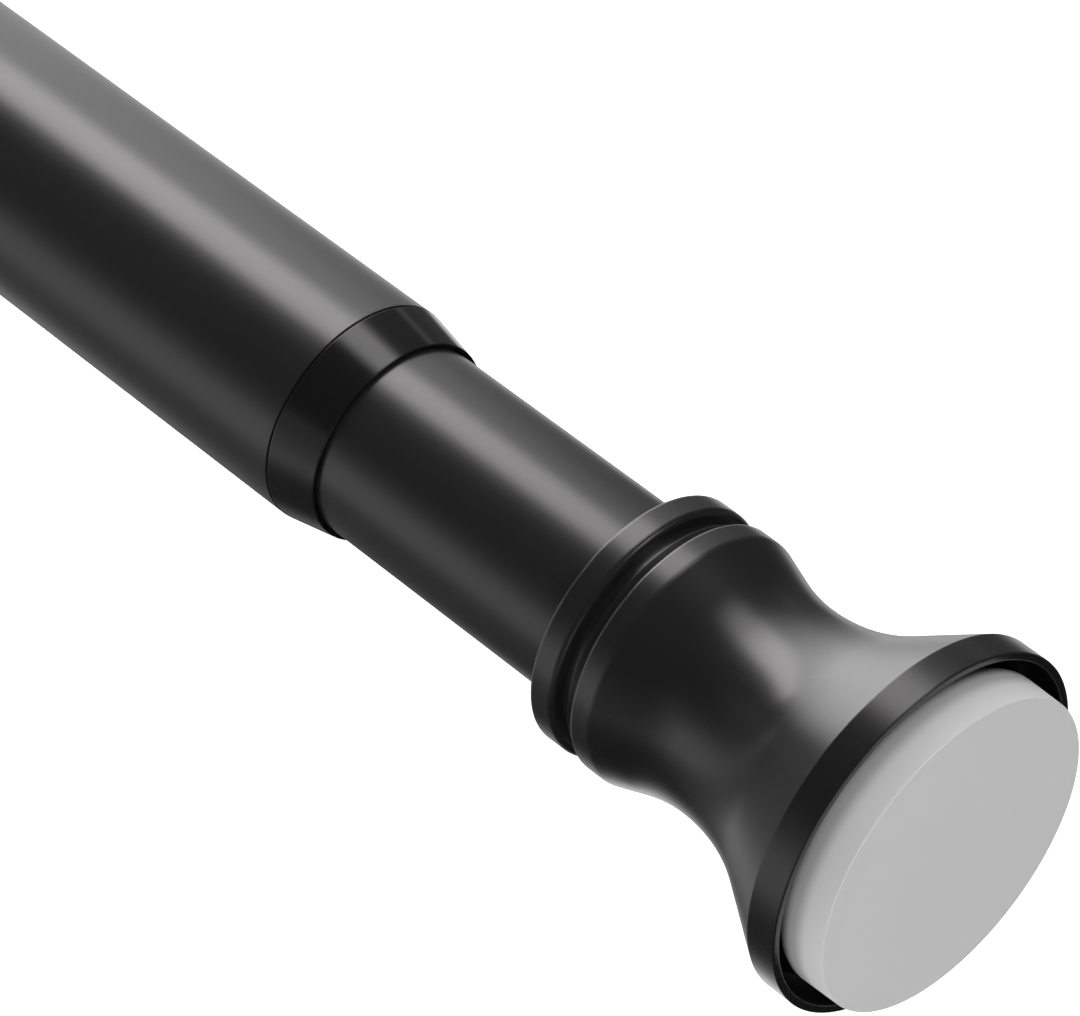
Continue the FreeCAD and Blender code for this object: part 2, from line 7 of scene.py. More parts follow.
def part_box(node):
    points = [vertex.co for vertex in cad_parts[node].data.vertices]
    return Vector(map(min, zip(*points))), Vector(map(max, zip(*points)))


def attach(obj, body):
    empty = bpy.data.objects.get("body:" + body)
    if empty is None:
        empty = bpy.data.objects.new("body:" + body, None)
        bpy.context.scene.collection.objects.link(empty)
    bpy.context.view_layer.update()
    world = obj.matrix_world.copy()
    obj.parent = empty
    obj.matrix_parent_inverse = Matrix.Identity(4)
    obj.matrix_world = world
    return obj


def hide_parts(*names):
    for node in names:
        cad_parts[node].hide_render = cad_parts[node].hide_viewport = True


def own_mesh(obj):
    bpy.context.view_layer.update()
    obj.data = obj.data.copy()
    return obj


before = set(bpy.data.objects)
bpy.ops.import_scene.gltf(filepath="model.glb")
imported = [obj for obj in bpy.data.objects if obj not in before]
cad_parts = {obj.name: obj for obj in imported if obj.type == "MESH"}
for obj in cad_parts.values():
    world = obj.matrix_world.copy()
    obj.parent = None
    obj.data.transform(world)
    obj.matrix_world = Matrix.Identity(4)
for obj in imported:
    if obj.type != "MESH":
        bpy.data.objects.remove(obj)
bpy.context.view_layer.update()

bl_info = {
    "name": "Spring tension rod",
    "version": (1, 0, 0),
    "blender": (4, 5, 0),
    "location": "View3D > Sidebar > Tension rod",
    "description": "Dresses a telescoping spring tension rod: tubes, collar, bells, pads, spring and studio",
    "category": "Object",
}

MM = 0.001

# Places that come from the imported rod, in metres along X
ROD_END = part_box("moving_wall_pad")[1].x
SOCKET_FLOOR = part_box("outer_tube")[0].x
TUBE_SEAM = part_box("outer_tube")[1].x
COLLAR_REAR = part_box("mouth_collar")[0].x
COLLAR_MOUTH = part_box("mouth_collar")[1].x
INNER_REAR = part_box("inner_tube")[0].x
INNER_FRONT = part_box("inner_tube")[1].x
SPRING_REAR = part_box("compression_spring")[0].x
SPRING_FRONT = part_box("compression_spring")[1].x
OUTER_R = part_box("outer_tube")[1].z
INNER_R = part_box("inner_tube")[1].z

# Sizes of the mouldings that no box gives, in millimetres
TUBE_FIT = 0.05
RIM_WALL = 0.85
RIM_LENGTH = 3.4
RIM_LIP_ROUND = 0.15
RIM_REAR_ROUND = 0.3
NECK_WALL = 1.1
NECK_LAND = 0.08
REAR_SWEEP_R = 16.5
REAR_ANGLE = 19.0
BAND_HEIGHT = 3.3
BAND_LENGTH = 2.55
BAND_FRONT_ROUND = 2.2
BAND_REAR_ROUND = 0.28
RECESS_DEPTH = 3.75
POCKET_DEPTH = 8.0
POCKET_WALL = 1.7
SOCKET_WEB = 3.5
HUB_R = 8.2
HUB_DRAFT = 0.4
SCREW_SEAT_DEPTH = 5.5
SCREW_SEAT_R = 5.5
SCREW_HOLE_R = 2.1
RING_BEAD_LENGTH = 1.25
RING_BEAD_DROP = 0.8
RING_BEAD_ROUND = 0.12
RING_BEAD_FALL = 0.4
RING_GROOVE_LENGTH = 1.2
RING_GROOVE_DROP = 1.5
RING_FLANGE_LENGTH = 3.1
RING_FLANGE_FRONT_ROUND = 0.6
RING_FLANGE_REAR_ROUND = 0.28
RING_SPIGOT_LENGTH = 4.2
RING_SPIGOT_WALL = 1.15
SPIGOT_CLEARANCE = 0.05
PAD_TAPER = 0.15
PAD_ROUND = 0.15
PAD_REAR_LENGTH = 2.2
PAD_REAR_DROP = 2.4
PAD_REAR_ROUND = 1.6
# Length of the pad's side, next to the rim, that gets painted shade
PAD_FOOT_SHADE = 1.6
PAD_STEM_LENGTH = 2.7
PAD_STEM_CLEARANCE = 0.1
COLLAR_CLEARANCE = 0.15
COLLAR_MOUTH_WALL = 0.4
COLLAR_MOUTH_ROUND = 0.12
COLLAR_LEAD_IN = 0.5
COLLAR_SEAM_WIDTH = 0.18
COLLAR_SEAM_DEPTH = 0.4
PLUG_CLEARANCE = 0.04
SEAM_ROUND = 0.06
CRIMP_DEPTH = 0.5
CRIMP_WIDTH = 2.4
BUSH_LENGTH = 18.0
SEAT_LENGTH = 10.0
RIB_SETBACK = 0.05
RIB_OVERLAP = 0.3

# Mesh fineness: the hold and the largest small rounding in millimetres, the weld in metres
FACETS_ROUND = 160
SMALL_ROUND_STEPS = 6
SWEEP_STEPS = 28
HOLD_GAP = 0.12
LARGEST_ROUND = 2.0
SPRING_STEPS = 48
WIRE_SIDES = 16
SHARP_ANGLE = math.radians(28)
WELD_DISTANCE = 1e-6

# Edges whose roundings lie between these sizes are marked for rubbing and a painted highlight, in millimetres
SMALLEST_WORN_AND_HIGHLIT = 0.2
LARGEST_WORN_AND_HIGHLIT = 0.29


# ---------------------------------------------------------------- settings

def length(name, description, default, low, high):
    """A length setting, given in millimetres."""
    return bpy.props.FloatProperty(
        name=name, description=description, default=default * MM, min=low * MM, max=high * MM,
        unit="LENGTH", precision=5)


def amount(name, description, default, low, high):
    """A whole number setting."""
    return bpy.props.IntProperty(name=name, description=description, default=default, min=low, max=high)


def colour(name, description, default):
    """A colour setting."""
    return bpy.props.FloatVectorProperty(
        name=name, description=description, default=default, size=3, min=0, max=1, subtype="COLOR")


def share(name, description, default, high=1.0):
    """A setting from 0 to 1, or to a higher limit."""
    return bpy.props.FloatProperty(
        name=name, description=description, default=default, min=0, max=high, subtype="FACTOR")


class RodSizes(bpy.types.PropertyGroup):
    """Sizes of the rod's visible pieces"""

    outer_tube_wall: length("Outer tube wall", "Wall of the large tube", 0.7, 0.3, 2)
    inner_tube_wall: length("Inner tube wall", "Wall of the small tube", 0.6, 0.3, 2)
    rim_diameter: length("Rim diameter", "Largest diameter of the bell-shaped end cap", 40.2, 30, 60)
    flare_angle: bpy.props.FloatProperty(
        name="Flare angle", description="Angle of the bell's straight flare to the rod's axis",
        default=math.radians(33), min=math.radians(20), max=math.radians(50), subtype="ANGLE")
    flare_sweep: length("Flare sweep", "Radius of the curve from the neck into the flare", 20, 5, 40)
    pad_diameter: length("Pad diameter", "Diameter of the rubber wall pad", 35.3, 20, 50)
    pad_proud: length("Pad stands proud", "How far the pad stands out of the cap's rim", 3.75, 0.5, 8)
    rib_count: amount("Ribs", "Ribs in the pockets behind the pad", 8, 3, 16)
    rib_width: length("Rib width", "Width of a rib behind the pad", 1.4, 0.5, 3)
    wire_diameter: length("Wire diameter", "Diameter of the spring's wire", 1.6, 0.5, 3)
    spring_diameter: length("Spring mean diameter", "Diameter of the spring at its wire's centre", 16, 8, 18)
    spring_turns: amount("Spring turns", "Turns of the spring, its two closed end turns included", 12, 4, 40)


class RodFinish(bpy.types.PropertyGroup):
    """Colours and gloss of the rod's finishes"""

    tube_colour: colour("Tube paint", "Satin black paint on both tubes", (0.0072, 0.0067, 0.0072))
    tube_roughness: share("Tube roughness", "Roughness of the tube paint", 0.30)
    tube_shine: share("Tube shine", "Specular level of the tube paint", 1.0)
    collar_colour: colour("Collar", "Glossy moulded collar", (0.0042, 0.0041, 0.0043))
    collar_roughness: share("Collar roughness", "Roughness of the collar", 0.17)
    cap_colour: colour("End caps", "Satin black moulded end caps and rings", (0.0068, 0.0065, 0.0068))
    cap_roughness: share("Cap roughness", "Roughness of the end caps and rings", 0.27)
    cap_shine: share("Cap shine", "Specular level of the end caps and rings", 0.95)
    pad_colour: colour("Wall pads", "Light grey rubber", (0.468, 0.468, 0.468))
    pad_roughness: share("Pad roughness", "Roughness of the rubber", 0.62)
    plastic_colour: colour("Inner mouldings", "Natural moulded plastic inside the tubes", (0.68, 0.66, 0.60))
    zinc_colour: colour("Zinc", "Zinc plate on the screws, the stud and the rings", (0.60, 0.60, 0.58))
    wire_colour: colour("Spring wire", "Oiled spring wire", (0.36, 0.36, 0.37))


class StudioSettings(bpy.types.PropertyGroup):
    """Lamps, floor and background"""

    floor_drop: bpy.props.FloatProperty(
        name="Floor drop", description="Distance of the floor below the rod's axis",
        default=0.5, min=0.1, max=2, unit="LENGTH")
    floor_colour: colour("Floor", "Plain pale floor", (0.8, 0.8, 0.8))
    top_strip: share("Top strip lamp", "Brightness of the long lamp above the rod", 4.1, 20)
    fill: share("Fill", "Even light from all round", 0.5, 5)


def sizes():
    """The rod's size settings."""
    return bpy.context.scene.rod_sizes


def finish():
    """The rod's finish settings."""
    return bpy.context.scene.rod_finish


def studio():
    """The studio's settings."""
    return bpy.context.scene.rod_studio


# ---------------------------------------------------------------- node helpers

def connect(tree, node, wires):
    """Links or sets a node's inputs by name or number."""
    for key, value in wires.items():
        if isinstance(value, bpy.types.NodeSocket):
            tree.links.new(value, node.inputs[key])
        else:
            node.inputs[key].default_value = value
    return node


def put(tree, kind, wires=None, **settings):
    """A new node with its settings, and its inputs linked or set."""
    node = tree.nodes.new(kind)
    for name, value in settings.items():
        setattr(node, name, value)
    return connect(tree, node, wires or {})


def maths(tree, operation, *values):
    """The result of a maths node."""
    return put(tree, "ShaderNodeMath", dict(enumerate(values)), operation=operation).outputs[0]


def ranged(tree, value, low, high, start=0.0, end=1.0, **settings):
    """A value moved from one range to another."""
    limits = {"From Min": start, "From Max": end, "To Min": low, "To Max": high}
    return put(tree, "ShaderNodeMapRange", {"Value": value, **limits}, **settings).outputs[0]


def about_x(tree, x, radius, angle):
    """A point at a radius from X, at an angle round it."""
    return put(tree, "ShaderNodeCombineXYZ", {
        "X": x,
        "Y": maths(tree, "MULTIPLY", radius, maths(tree, "COSINE", angle)),
        "Z": maths(tree, "MULTIPLY", radius, maths(tree, "SINE", angle)),
    }).outputs[0]


def built_once(name):
    """Names a node group, and builds it only the first time that it's asked for."""
    def wrap(build):
        return lambda: bpy.data.node_groups.get(name) or build(name)
    return wrap


def new_group(name, tree_type, inputs, outputs):
    """An empty node group with named sockets, and its input and output nodes."""
    tree = bpy.data.node_groups.new(name, tree_type)
    for label, kind, default in inputs:
        socket = tree.interface.new_socket(label, in_out="INPUT", socket_type="NodeSocket" + kind)
        if default is not None:
            socket.default_value = default
    for label, kind in outputs:
        tree.interface.new_socket(label, in_out="OUTPUT", socket_type="NodeSocket" + kind)
    return tree, tree.nodes.new("NodeGroupInput").outputs, tree.nodes.new("NodeGroupOutput").inputs


def socket_id(tree, label):
    """Identifier of a tree's named input."""
    return next(item.identifier for item in tree.interface.items_tree
                if item.item_type == "SOCKET" and item.in_out == "INPUT" and item.name == label)


def named_attribute(tree, name, data_type="FLOAT"):
    """The value of a named attribute."""
    node = put(tree, "GeometryNodeInputNamedAttribute", {"Name": name}, data_type=data_type)
    return node.outputs["Attribute"]


def sampled(tree, geometry, value, index, data_type="FLOAT"):
    """A value read at one of a geometry's points."""
    return put(tree, "GeometryNodeSampleIndex", {"Geometry": geometry, "Value": value, "Index": index},
               data_type=data_type, domain="POINT").outputs[0]


def end_of_tree(tree, geometry, material, out):
    """Realised instances and the material."""
    real = put(tree, "GeometryNodeRealizeInstances", {"Geometry": geometry}).outputs[0]
    painted = put(tree, "GeometryNodeSetMaterial", {"Geometry": real, "Material": material})
    tree.links.new(painted.outputs[0], out)


def creased(tree, geometry, sharp_angle):
    """Smooth shading with creases at the sharp edges."""
    angle = put(tree, "GeometryNodeInputMeshEdgeAngle").outputs["Unsigned Angle"]
    crease = maths(tree, "GREATER_THAN", angle, sharp_angle)
    soft = put(tree, "GeometryNodeSetShadeSmooth",
               {"Geometry": geometry, "Shade Smooth": True}, domain="FACE").outputs[0]
    return put(tree, "GeometryNodeSetShadeSmooth",
               {"Geometry": soft, "Selection": crease, "Shade Smooth": False},
               domain="EDGE").outputs[0]


# ---------------------------------------------------------------- geometry trees

@built_once("Turned piece")
def turned_tree(name):
    """Tree that rounds an outline's corners and turns it about X, as a lathe does."""
    tree, given, out = new_group(name, "GeometryNodeTree", [
        ("Outline", "Geometry", None),
        ("Facets Round", "Int", FACETS_ROUND),
        ("Closed Section", "Int", 1),
        ("Sharp Angle", "Float", SHARP_ANGLE),
        ("Material", "Material", None),
    ], [("Geometry", "Geometry")])
    curve = put(tree, "GeometryNodeMeshToCurve", {"Mesh": given["Outline"]}).outputs[0]
    rounding = named_attribute(tree, "rounding")
    rounded = put(tree, "GeometryNodeFilletCurve",
                  {"Curve": curve, "Count": named_attribute(tree, "round_steps", "INT"), "Radius": rounding},
                  mode="POLY").outputs[0]
    count = put(tree, "GeometryNodeAttributeDomainSize", {"Geometry": rounded}, component="CURVE")
    count = count.outputs["Point Count"]
    rows = maths(tree, "ADD", given["Facets Round"], 1.0)
    columns = maths(tree, "ADD", count, given["Closed Section"])
    grid = put(tree, "GeometryNodeMeshGrid", {"Vertices X": columns, "Vertices Y": rows}).outputs["Mesh"]
    index = put(tree, "GeometryNodeInputIndex").outputs[0]
    column = maths(tree, "FLOOR", maths(tree, "DIVIDE", maths(tree, "ADD", index, 0.5), rows))
    source = maths(tree, "MODULO", column, count)
    place = put(tree, "GeometryNodeInputPosition").outputs[0]
    corner = sampled(tree, rounded, place, source, "FLOAT_VECTOR")
    corner = put(tree, "ShaderNodeSeparateXYZ", {0: corner}).outputs
    row = maths(tree, "SUBTRACT", index, maths(tree, "MULTIPLY", column, rows))
    turn = maths(tree, "MULTIPLY", maths(tree, "DIVIDE", row, given["Facets Round"]), math.tau)
    spot = about_x(tree, corner["X"], corner["Y"], turn)
    turned = put(tree, "GeometryNodeSetPosition", {"Geometry": grid, "Position": spot}).outputs[0]
    # Marks the edges whose colour is later lightened: partly rubbing, partly a painted highlight
    size = sampled(tree, rounded, rounding, source)
    worn_and_highlit = maths(tree, "MULTIPLY", maths(tree, "GREATER_THAN", size, SMALLEST_WORN_AND_HIGHLIT * MM),
                 maths(tree, "LESS_THAN", size, LARGEST_WORN_AND_HIGHLIT * MM))
    marked = put(tree, "GeometryNodeStoreNamedAttribute", {"Geometry": turned, "Name": "edge", "Value": worn_and_highlit},
                 data_type="FLOAT", domain="POINT").outputs[0]
    welded = put(tree, "GeometryNodeMergeByDistance",
                 {"Geometry": marked, "Distance": WELD_DISTANCE}).outputs[0]
    outward = put(tree, "GeometryNodeFlipFaces", {"Mesh": welded}).outputs[0]
    end_of_tree(tree, creased(tree, outward, given["Sharp Angle"]), given["Material"], out[0])
    return tree


@built_once("Ribbed bell")
def ribbed_tree(name):
    """Tree for a turned bell with ribs repeated round the pockets behind its pad."""
    tree, given, out = new_group(name, "GeometryNodeTree", [
        ("Outline", "Geometry", None),
        ("Facets Round", "Int", FACETS_ROUND),
        ("Closed Section", "Int", 1),
        ("Rib Count", "Int", 8),
        ("Rib Start", "Float", 0.0),
        ("Rib End", "Float", 0.0),
        ("Rib Width", "Float", 0.0),
        ("Rib Inner Radius", "Float", 0.0),
        ("Rib Outer Radius", "Float", 0.0),
        ("Sharp Angle", "Float", SHARP_ANGLE),
        ("Material", "Material", None),
    ], [("Geometry", "Geometry")])
    passed_on = ("Outline", "Facets Round", "Closed Section", "Sharp Angle", "Material")
    lathe = put(tree, "GeometryNodeGroup", {label: given[label] for label in passed_on},
                node_tree=turned_tree())

    def middle(low, high):
        return maths(tree, "DIVIDE", maths(tree, "ADD", given[low], given[high]), 2.0)

    def span(low, high):
        return maths(tree, "ABSOLUTE", maths(tree, "SUBTRACT", given[high], given[low]))

    block = put(tree, "ShaderNodeCombineXYZ", {
        "X": span("Rib Start", "Rib End"), "Y": given["Rib Width"],
        "Z": span("Rib Inner Radius", "Rib Outer Radius")}).outputs[0]
    rib = put(tree, "GeometryNodeMeshCube", {"Size": block}).outputs["Mesh"]
    seat = put(tree, "ShaderNodeCombineXYZ", {
        "X": middle("Rib Start", "Rib End"), "Z": middle("Rib Inner Radius", "Rib Outer Radius")}).outputs[0]
    rib = put(tree, "GeometryNodeTransform", {"Geometry": rib, "Translation": seat}).outputs[0]
    points = put(tree, "GeometryNodePoints", {"Count": given["Rib Count"]}).outputs[0]
    index = put(tree, "GeometryNodeInputIndex").outputs[0]
    angle = maths(tree, "MULTIPLY", maths(tree, "DIVIDE", index, given["Rib Count"]), math.tau)
    turn = put(tree, "FunctionNodeAxisAngleToRotation", {"Axis": (1, 0, 0), "Angle": angle}).outputs[0]
    ribs = put(tree, "GeometryNodeInstanceOnPoints", {"Points": points, "Instance": rib, "Rotation": turn})
    joined = put(tree, "GeometryNodeJoinGeometry", {0: ribs.outputs[0]})
    tree.links.new(lathe.outputs[0], joined.inputs[0])
    end_of_tree(tree, joined.outputs[0], given["Material"], out[0])
    return tree


@built_once("Coil spring")
def spring_tree(name):
    """Tree for a coil spring with closed end turns, wound along X."""
    tree, given, out = new_group(name, "GeometryNodeTree", [
        ("Geometry", "Geometry", None),
        ("Start", "Float", 0.0),
        ("Length", "Float", 0.085),
        ("Mean Diameter", "Float", 0.016),
        ("Wire Diameter", "Float", 0.0016),
        ("Turns", "Int", 12),
        ("Steps Per Turn", "Int", SPRING_STEPS),
        ("Wire Sides", "Int", WIRE_SIDES),
        ("Sharp Angle", "Float", math.radians(60)),
        ("Material", "Material", None),
    ], [("Geometry", "Geometry")])
    steps = maths(tree, "MULTIPLY", given["Turns"], given["Steps Per Turn"])
    line = put(tree, "GeometryNodeMeshLine", {"Count": maths(tree, "ADD", steps, 1.0)}).outputs[0]
    index = put(tree, "GeometryNodeInputIndex").outputs[0]
    turn = maths(tree, "DIVIDE", index, given["Steps Per Turn"])
    open_turns = maths(tree, "SUBTRACT", given["Turns"], 2.0)
    opened = maths(tree, "MAXIMUM", maths(tree, "SUBTRACT", turn, 1.0), 0.0)
    opened = maths(tree, "MINIMUM", opened, open_turns)
    wire_r = maths(tree, "DIVIDE", given["Wire Diameter"], 2.0)
    ends = maths(tree, "MULTIPLY", maths(tree, "ADD", wire_r, given["Wire Diameter"]), 2.0)
    open_pitch = maths(tree, "DIVIDE", maths(tree, "SUBTRACT", given["Length"], ends), open_turns)
    rise = maths(tree, "MULTIPLY", given["Wire Diameter"], maths(tree, "SUBTRACT", turn, opened))
    rise = maths(tree, "ADD", rise, maths(tree, "MULTIPLY", open_pitch, opened))
    along = maths(tree, "ADD", maths(tree, "ADD", given["Start"], wire_r), rise)
    radius = maths(tree, "DIVIDE", given["Mean Diameter"], 2.0)
    spot = about_x(tree, along, radius, maths(tree, "MULTIPLY", turn, math.tau))
    coil = put(tree, "GeometryNodeSetPosition", {"Geometry": line, "Position": spot}).outputs[0]
    coil = put(tree, "GeometryNodeMeshToCurve", {"Mesh": coil}).outputs[0]
    wire = put(tree, "GeometryNodeCurvePrimitiveCircle", {
        "Resolution": given["Wire Sides"], "Radius": wire_r}).outputs["Curve"]
    mesh = put(tree, "GeometryNodeCurveToMesh",
               {"Curve": coil, "Profile Curve": wire, "Fill Caps": True}).outputs[0]
    end_of_tree(tree, creased(tree, mesh, given["Sharp Angle"]), given["Material"], out[0])
    return tree


# ---------------------------------------------------------------- making a piece

def placed(name, data):
    """A new object in the scene."""
    thing = bpy.data.objects.new(name, data)
    bpy.context.scene.collection.objects.link(thing)
    return thing


def mark(mesh, name, values, kind="FLOAT"):
    """Keeps a number at each point of a mesh."""
    mesh.attributes.new(name, kind, "POINT").data.foreach_set("value", values)


def grown(name, base_mesh, tree, values):
    """A plain mesh object that a tree makes from a base mesh."""
    piece = placed(name, base_mesh)
    modifier = piece.modifiers.new("Shape", "NODES")
    modifier.node_group = tree
    for label, value in values.items():
        modifier[socket_id(tree, label)] = value
    shape = bpy.data.meshes.new_from_object(piece.evaluated_get(bpy.context.evaluated_depsgraph_get()))
    shape.name = name
    piece.modifiers.clear()
    piece.data = shape
    bpy.data.meshes.remove(base_mesh)
    return piece


def outline_mesh(corners, closed):
    """A half section's outline, with its roundings kept for the tree.

    A corner is (x, radius, rounding) in metres. A point just past each rounding holds the flat beside it.
    """
    count = len(corners)
    points = []
    for i, (x, r, rounding) in enumerate(corners):
        here = Vector((x, r))
        if 0 < rounding < LARGEST_ROUND * MM:
            before = (Vector(corners[i - 1][:2]) - here).normalized()
            after = (Vector(corners[(i + 1) % count][:2]) - here).normalized()
            hold = rounding / math.tan(before.angle(after) / 2) + HOLD_GAP * MM
            points += [(here + before * hold, 0), (here, rounding), (here + after * hold, 0)]
        else:
            points.append((here, rounding))
    edges = [(i, i + 1) for i in range(len(points) - 1)]
    if closed:
        edges.append((len(points) - 1, 0))
    mesh = bpy.data.meshes.new("outline")
    mesh.from_pydata([(p.x, p.y, 0) for p, _ in points], edges, [])
    roundings = [size for _, size in points]
    mark(mesh, "rounding", roundings)
    mark(mesh, "round_steps",
         [SWEEP_STEPS if size > LARGEST_ROUND * MM else SMALL_ROUND_STEPS for size in roundings], "INT")
    return mesh


def in_metres(*corners):
    """Corners given in millimetres, with or without a rounding, as metres."""
    return [tuple(value * MM for value in (*corner, 0)[:3]) for corner in corners]


def at_moving_end(corners):
    """An end piece's outline turned round and put at the rod's other end."""
    return [(ROD_END - x, r, rounding) for x, r, rounding in reversed(corners)]


def turned(name, corners, material, closed=True):
    """A piece turned about the rod's axis."""
    return grown(name, outline_mesh(corners, closed), turned_tree(), {
        "Facets Round": FACETS_ROUND, "Closed Section": int(closed), "Sharp Angle": SHARP_ANGLE,
        "Material": material})


def stands_for(piece, node, body):
    """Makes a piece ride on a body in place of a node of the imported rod."""
    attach(piece, body)
    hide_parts(node)


# ---------------------------------------------------------------- outlines, in millimetres

def bell_stations(tube_r):
    """Where the bell's outline turns: flare foot, rear slope foot, band front and back face."""
    s = sizes()
    corner = s.pad_proud / MM + RIM_LENGTH
    neck_r = tube_r + TUBE_FIT + NECK_WALL
    sweep = s.flare_sweep / MM
    rear = math.radians(REAR_ANGLE)
    flare_foot = corner + (s.rim_diameter / MM / 2 - neck_r) / math.tan(s.flare_angle)
    sweeps = sweep * math.tan(s.flare_angle / 2) + REAR_SWEEP_R * math.tan(rear / 2)
    rear_foot = flare_foot + sweeps + NECK_LAND
    band_front = rear_foot + (tube_r + BAND_HEIGHT - neck_r) / math.tan(rear)
    return flare_foot, rear_foot, band_front, band_front + BAND_LENGTH


def flare_radius(x):
    """Radius of the bell's straight flare at a distance from the wall face."""
    s = sizes()
    return s.rim_diameter / MM / 2 - (x - s.pad_proud / MM - RIM_LENGTH) * math.tan(s.flare_angle)


def bell_outline(tube_r):
    """Half section of the bell-shaped moulding."""
    s = sizes()
    proud = s.pad_proud / MM
    rim_r = s.rim_diameter / MM / 2
    recess = proud + RECESS_DEPTH
    pocket = recess + POCKET_DEPTH
    socket = pocket + SOCKET_WEB
    seat = recess + SCREW_SEAT_DEPTH
    flare_foot, rear_foot, band_front, back = bell_stations(tube_r)
    bore_r = tube_r + TUBE_FIT
    neck_r = bore_r + NECK_WALL
    band_r = tube_r + BAND_HEIGHT
    spigot_r = bore_r + RING_SPIGOT_WALL + SPIGOT_CLEARANCE
    spigot_floor = back - RING_SPIGOT_LENGTH - SPIGOT_CLEARANCE
    return in_metres(
        (proud, rim_r - RIM_WALL, RIM_LIP_ROUND),
        (proud, rim_r, RIM_LIP_ROUND),
        (proud + RIM_LENGTH, rim_r, RIM_REAR_ROUND),
        (flare_foot, neck_r, s.flare_sweep / MM),
        (rear_foot, neck_r, REAR_SWEEP_R),
        (band_front, band_r, BAND_FRONT_ROUND),
        (back, band_r, BAND_REAR_ROUND),
        (back, spigot_r),
        (spigot_floor, spigot_r),
        (spigot_floor, bore_r),
        (socket, bore_r),
        (socket, SCREW_HOLE_R),
        (seat, SCREW_HOLE_R),
        (seat, SCREW_SEAT_R),
        (recess, SCREW_SEAT_R),
        (recess, HUB_R),
        (pocket, HUB_R + HUB_DRAFT),
        (pocket, flare_radius(pocket) - POCKET_WALL),
        (recess, flare_radius(recess) - POCKET_WALL),
        (recess, rim_r - RIM_WALL),
    )


def ring_outline(tube_r):
    """Half section of the ring behind a bell: a bead, a groove and a flange."""
    back = bell_stations(tube_r)[3]
    band_r = tube_r + BAND_HEIGHT
    bead_r = band_r - RING_BEAD_DROP
    groove_r = band_r - RING_GROOVE_DROP
    bore_r = tube_r + TUBE_FIT
    spigot_r = bore_r + RING_SPIGOT_WALL
    groove = back + RING_BEAD_LENGTH
    flange = groove + RING_GROOVE_LENGTH
    end = flange + RING_FLANGE_LENGTH
    return in_metres(
        (back - RING_SPIGOT_LENGTH, bore_r),
        (back - RING_SPIGOT_LENGTH, spigot_r),
        (back, spigot_r),
        (back, bead_r - RING_BEAD_FALL),
        (groove, bead_r, RING_BEAD_ROUND),
        (groove, groove_r),
        (flange, groove_r),
        (flange, band_r, RING_FLANGE_FRONT_ROUND),
        (end, band_r, RING_FLANGE_REAR_ROUND),
        (end, bore_r),
    )


def pad_outline():
    """Half section of the rubber wall pad with its stem."""
    s = sizes()
    pad_r = s.pad_diameter / MM / 2
    back = s.pad_proud / MM + RECESS_DEPTH
    stem_r = SCREW_SEAT_R - PAD_STEM_CLEARANCE
    return in_metres(
        (0, 0),
        (0, pad_r - PAD_TAPER, PAD_ROUND),
        (back - PAD_REAR_LENGTH, pad_r, PAD_REAR_ROUND),
        (back, pad_r - PAD_REAR_DROP),
        (back, stem_r),
        (back + PAD_STEM_LENGTH, stem_r),
        (back + PAD_STEM_LENGTH, 0),
    )


def outer_tube_outline():
    """Half section of the large tube, with eased ends."""
    outer_r = OUTER_R / MM
    bore_r = outer_r - sizes().outer_tube_wall / MM
    start = SOCKET_FLOOR / MM
    end = TUBE_SEAM / MM
    return in_metres((start, bore_r), (start, outer_r), (end, outer_r, SEAM_ROUND), (end, bore_r))


def crimp(middle, surface_r):
    """Corners of a rolled groove in a surface, from its rear to its front."""
    half = CRIMP_WIDTH / 2
    floor_half = half - CRIMP_DEPTH
    floor_r = surface_r - CRIMP_DEPTH
    return [(middle - half, surface_r), (middle - floor_half, floor_r),
            (middle + floor_half, floor_r), (middle + half, surface_r)]


def inner_tube_outline():
    """Half section of the small tube, with its two rolled crimps."""
    outer_r = INNER_R / MM
    bore_r = outer_r - sizes().inner_tube_wall / MM
    rear = INNER_REAR / MM
    front = INNER_FRONT / MM
    middles = (rear + BUSH_LENGTH / 2, SPRING_FRONT / MM + SEAT_LENGTH / 2)
    outside = [corner for middle in middles for corner in crimp(middle, outer_r)]
    inside = [corner for middle in middles for corner in crimp(middle, bore_r)]
    return in_metres(
        (rear, bore_r), (rear, outer_r), *outside,
        (front, outer_r), (front, bore_r), *reversed(inside))


def collar_outline():
    """Half section of the tapered collar with the skirt inside the tube."""
    outer_r = OUTER_R / MM
    bore_r = INNER_R / MM + COLLAR_CLEARANCE
    skirt_r = outer_r - sizes().outer_tube_wall / MM - PLUG_CLEARANCE
    rear = COLLAR_REAR / MM
    seam = TUBE_SEAM / MM
    mouth = COLLAR_MOUTH / MM
    nose_slope = (outer_r - bore_r - COLLAR_MOUTH_WALL) / (mouth - seam)
    return in_metres(
        (rear, bore_r),
        (rear, skirt_r - COLLAR_LEAD_IN),
        (rear + COLLAR_LEAD_IN, skirt_r),
        (seam, skirt_r),
        (seam, outer_r - COLLAR_SEAM_DEPTH),
        (seam + COLLAR_SEAM_WIDTH, outer_r - COLLAR_SEAM_DEPTH),
        (seam + COLLAR_SEAM_WIDTH, outer_r - COLLAR_SEAM_WIDTH * nose_slope, SEAM_ROUND),
        (mouth, bore_r + COLLAR_MOUTH_WALL, COLLAR_MOUTH_ROUND),
        (mouth, bore_r, COLLAR_MOUTH_ROUND),
    )


# ---------------------------------------------------------------- shared effects

def noise(tree, place, scale, detail, roughness=0.5):
    """Soft noise from 0 to 1."""
    return put(tree, "ShaderNodeTexNoise", {
        "Vector": place, "Scale": scale, "Detail": detail, "Roughness": roughness}).outputs["Fac"]


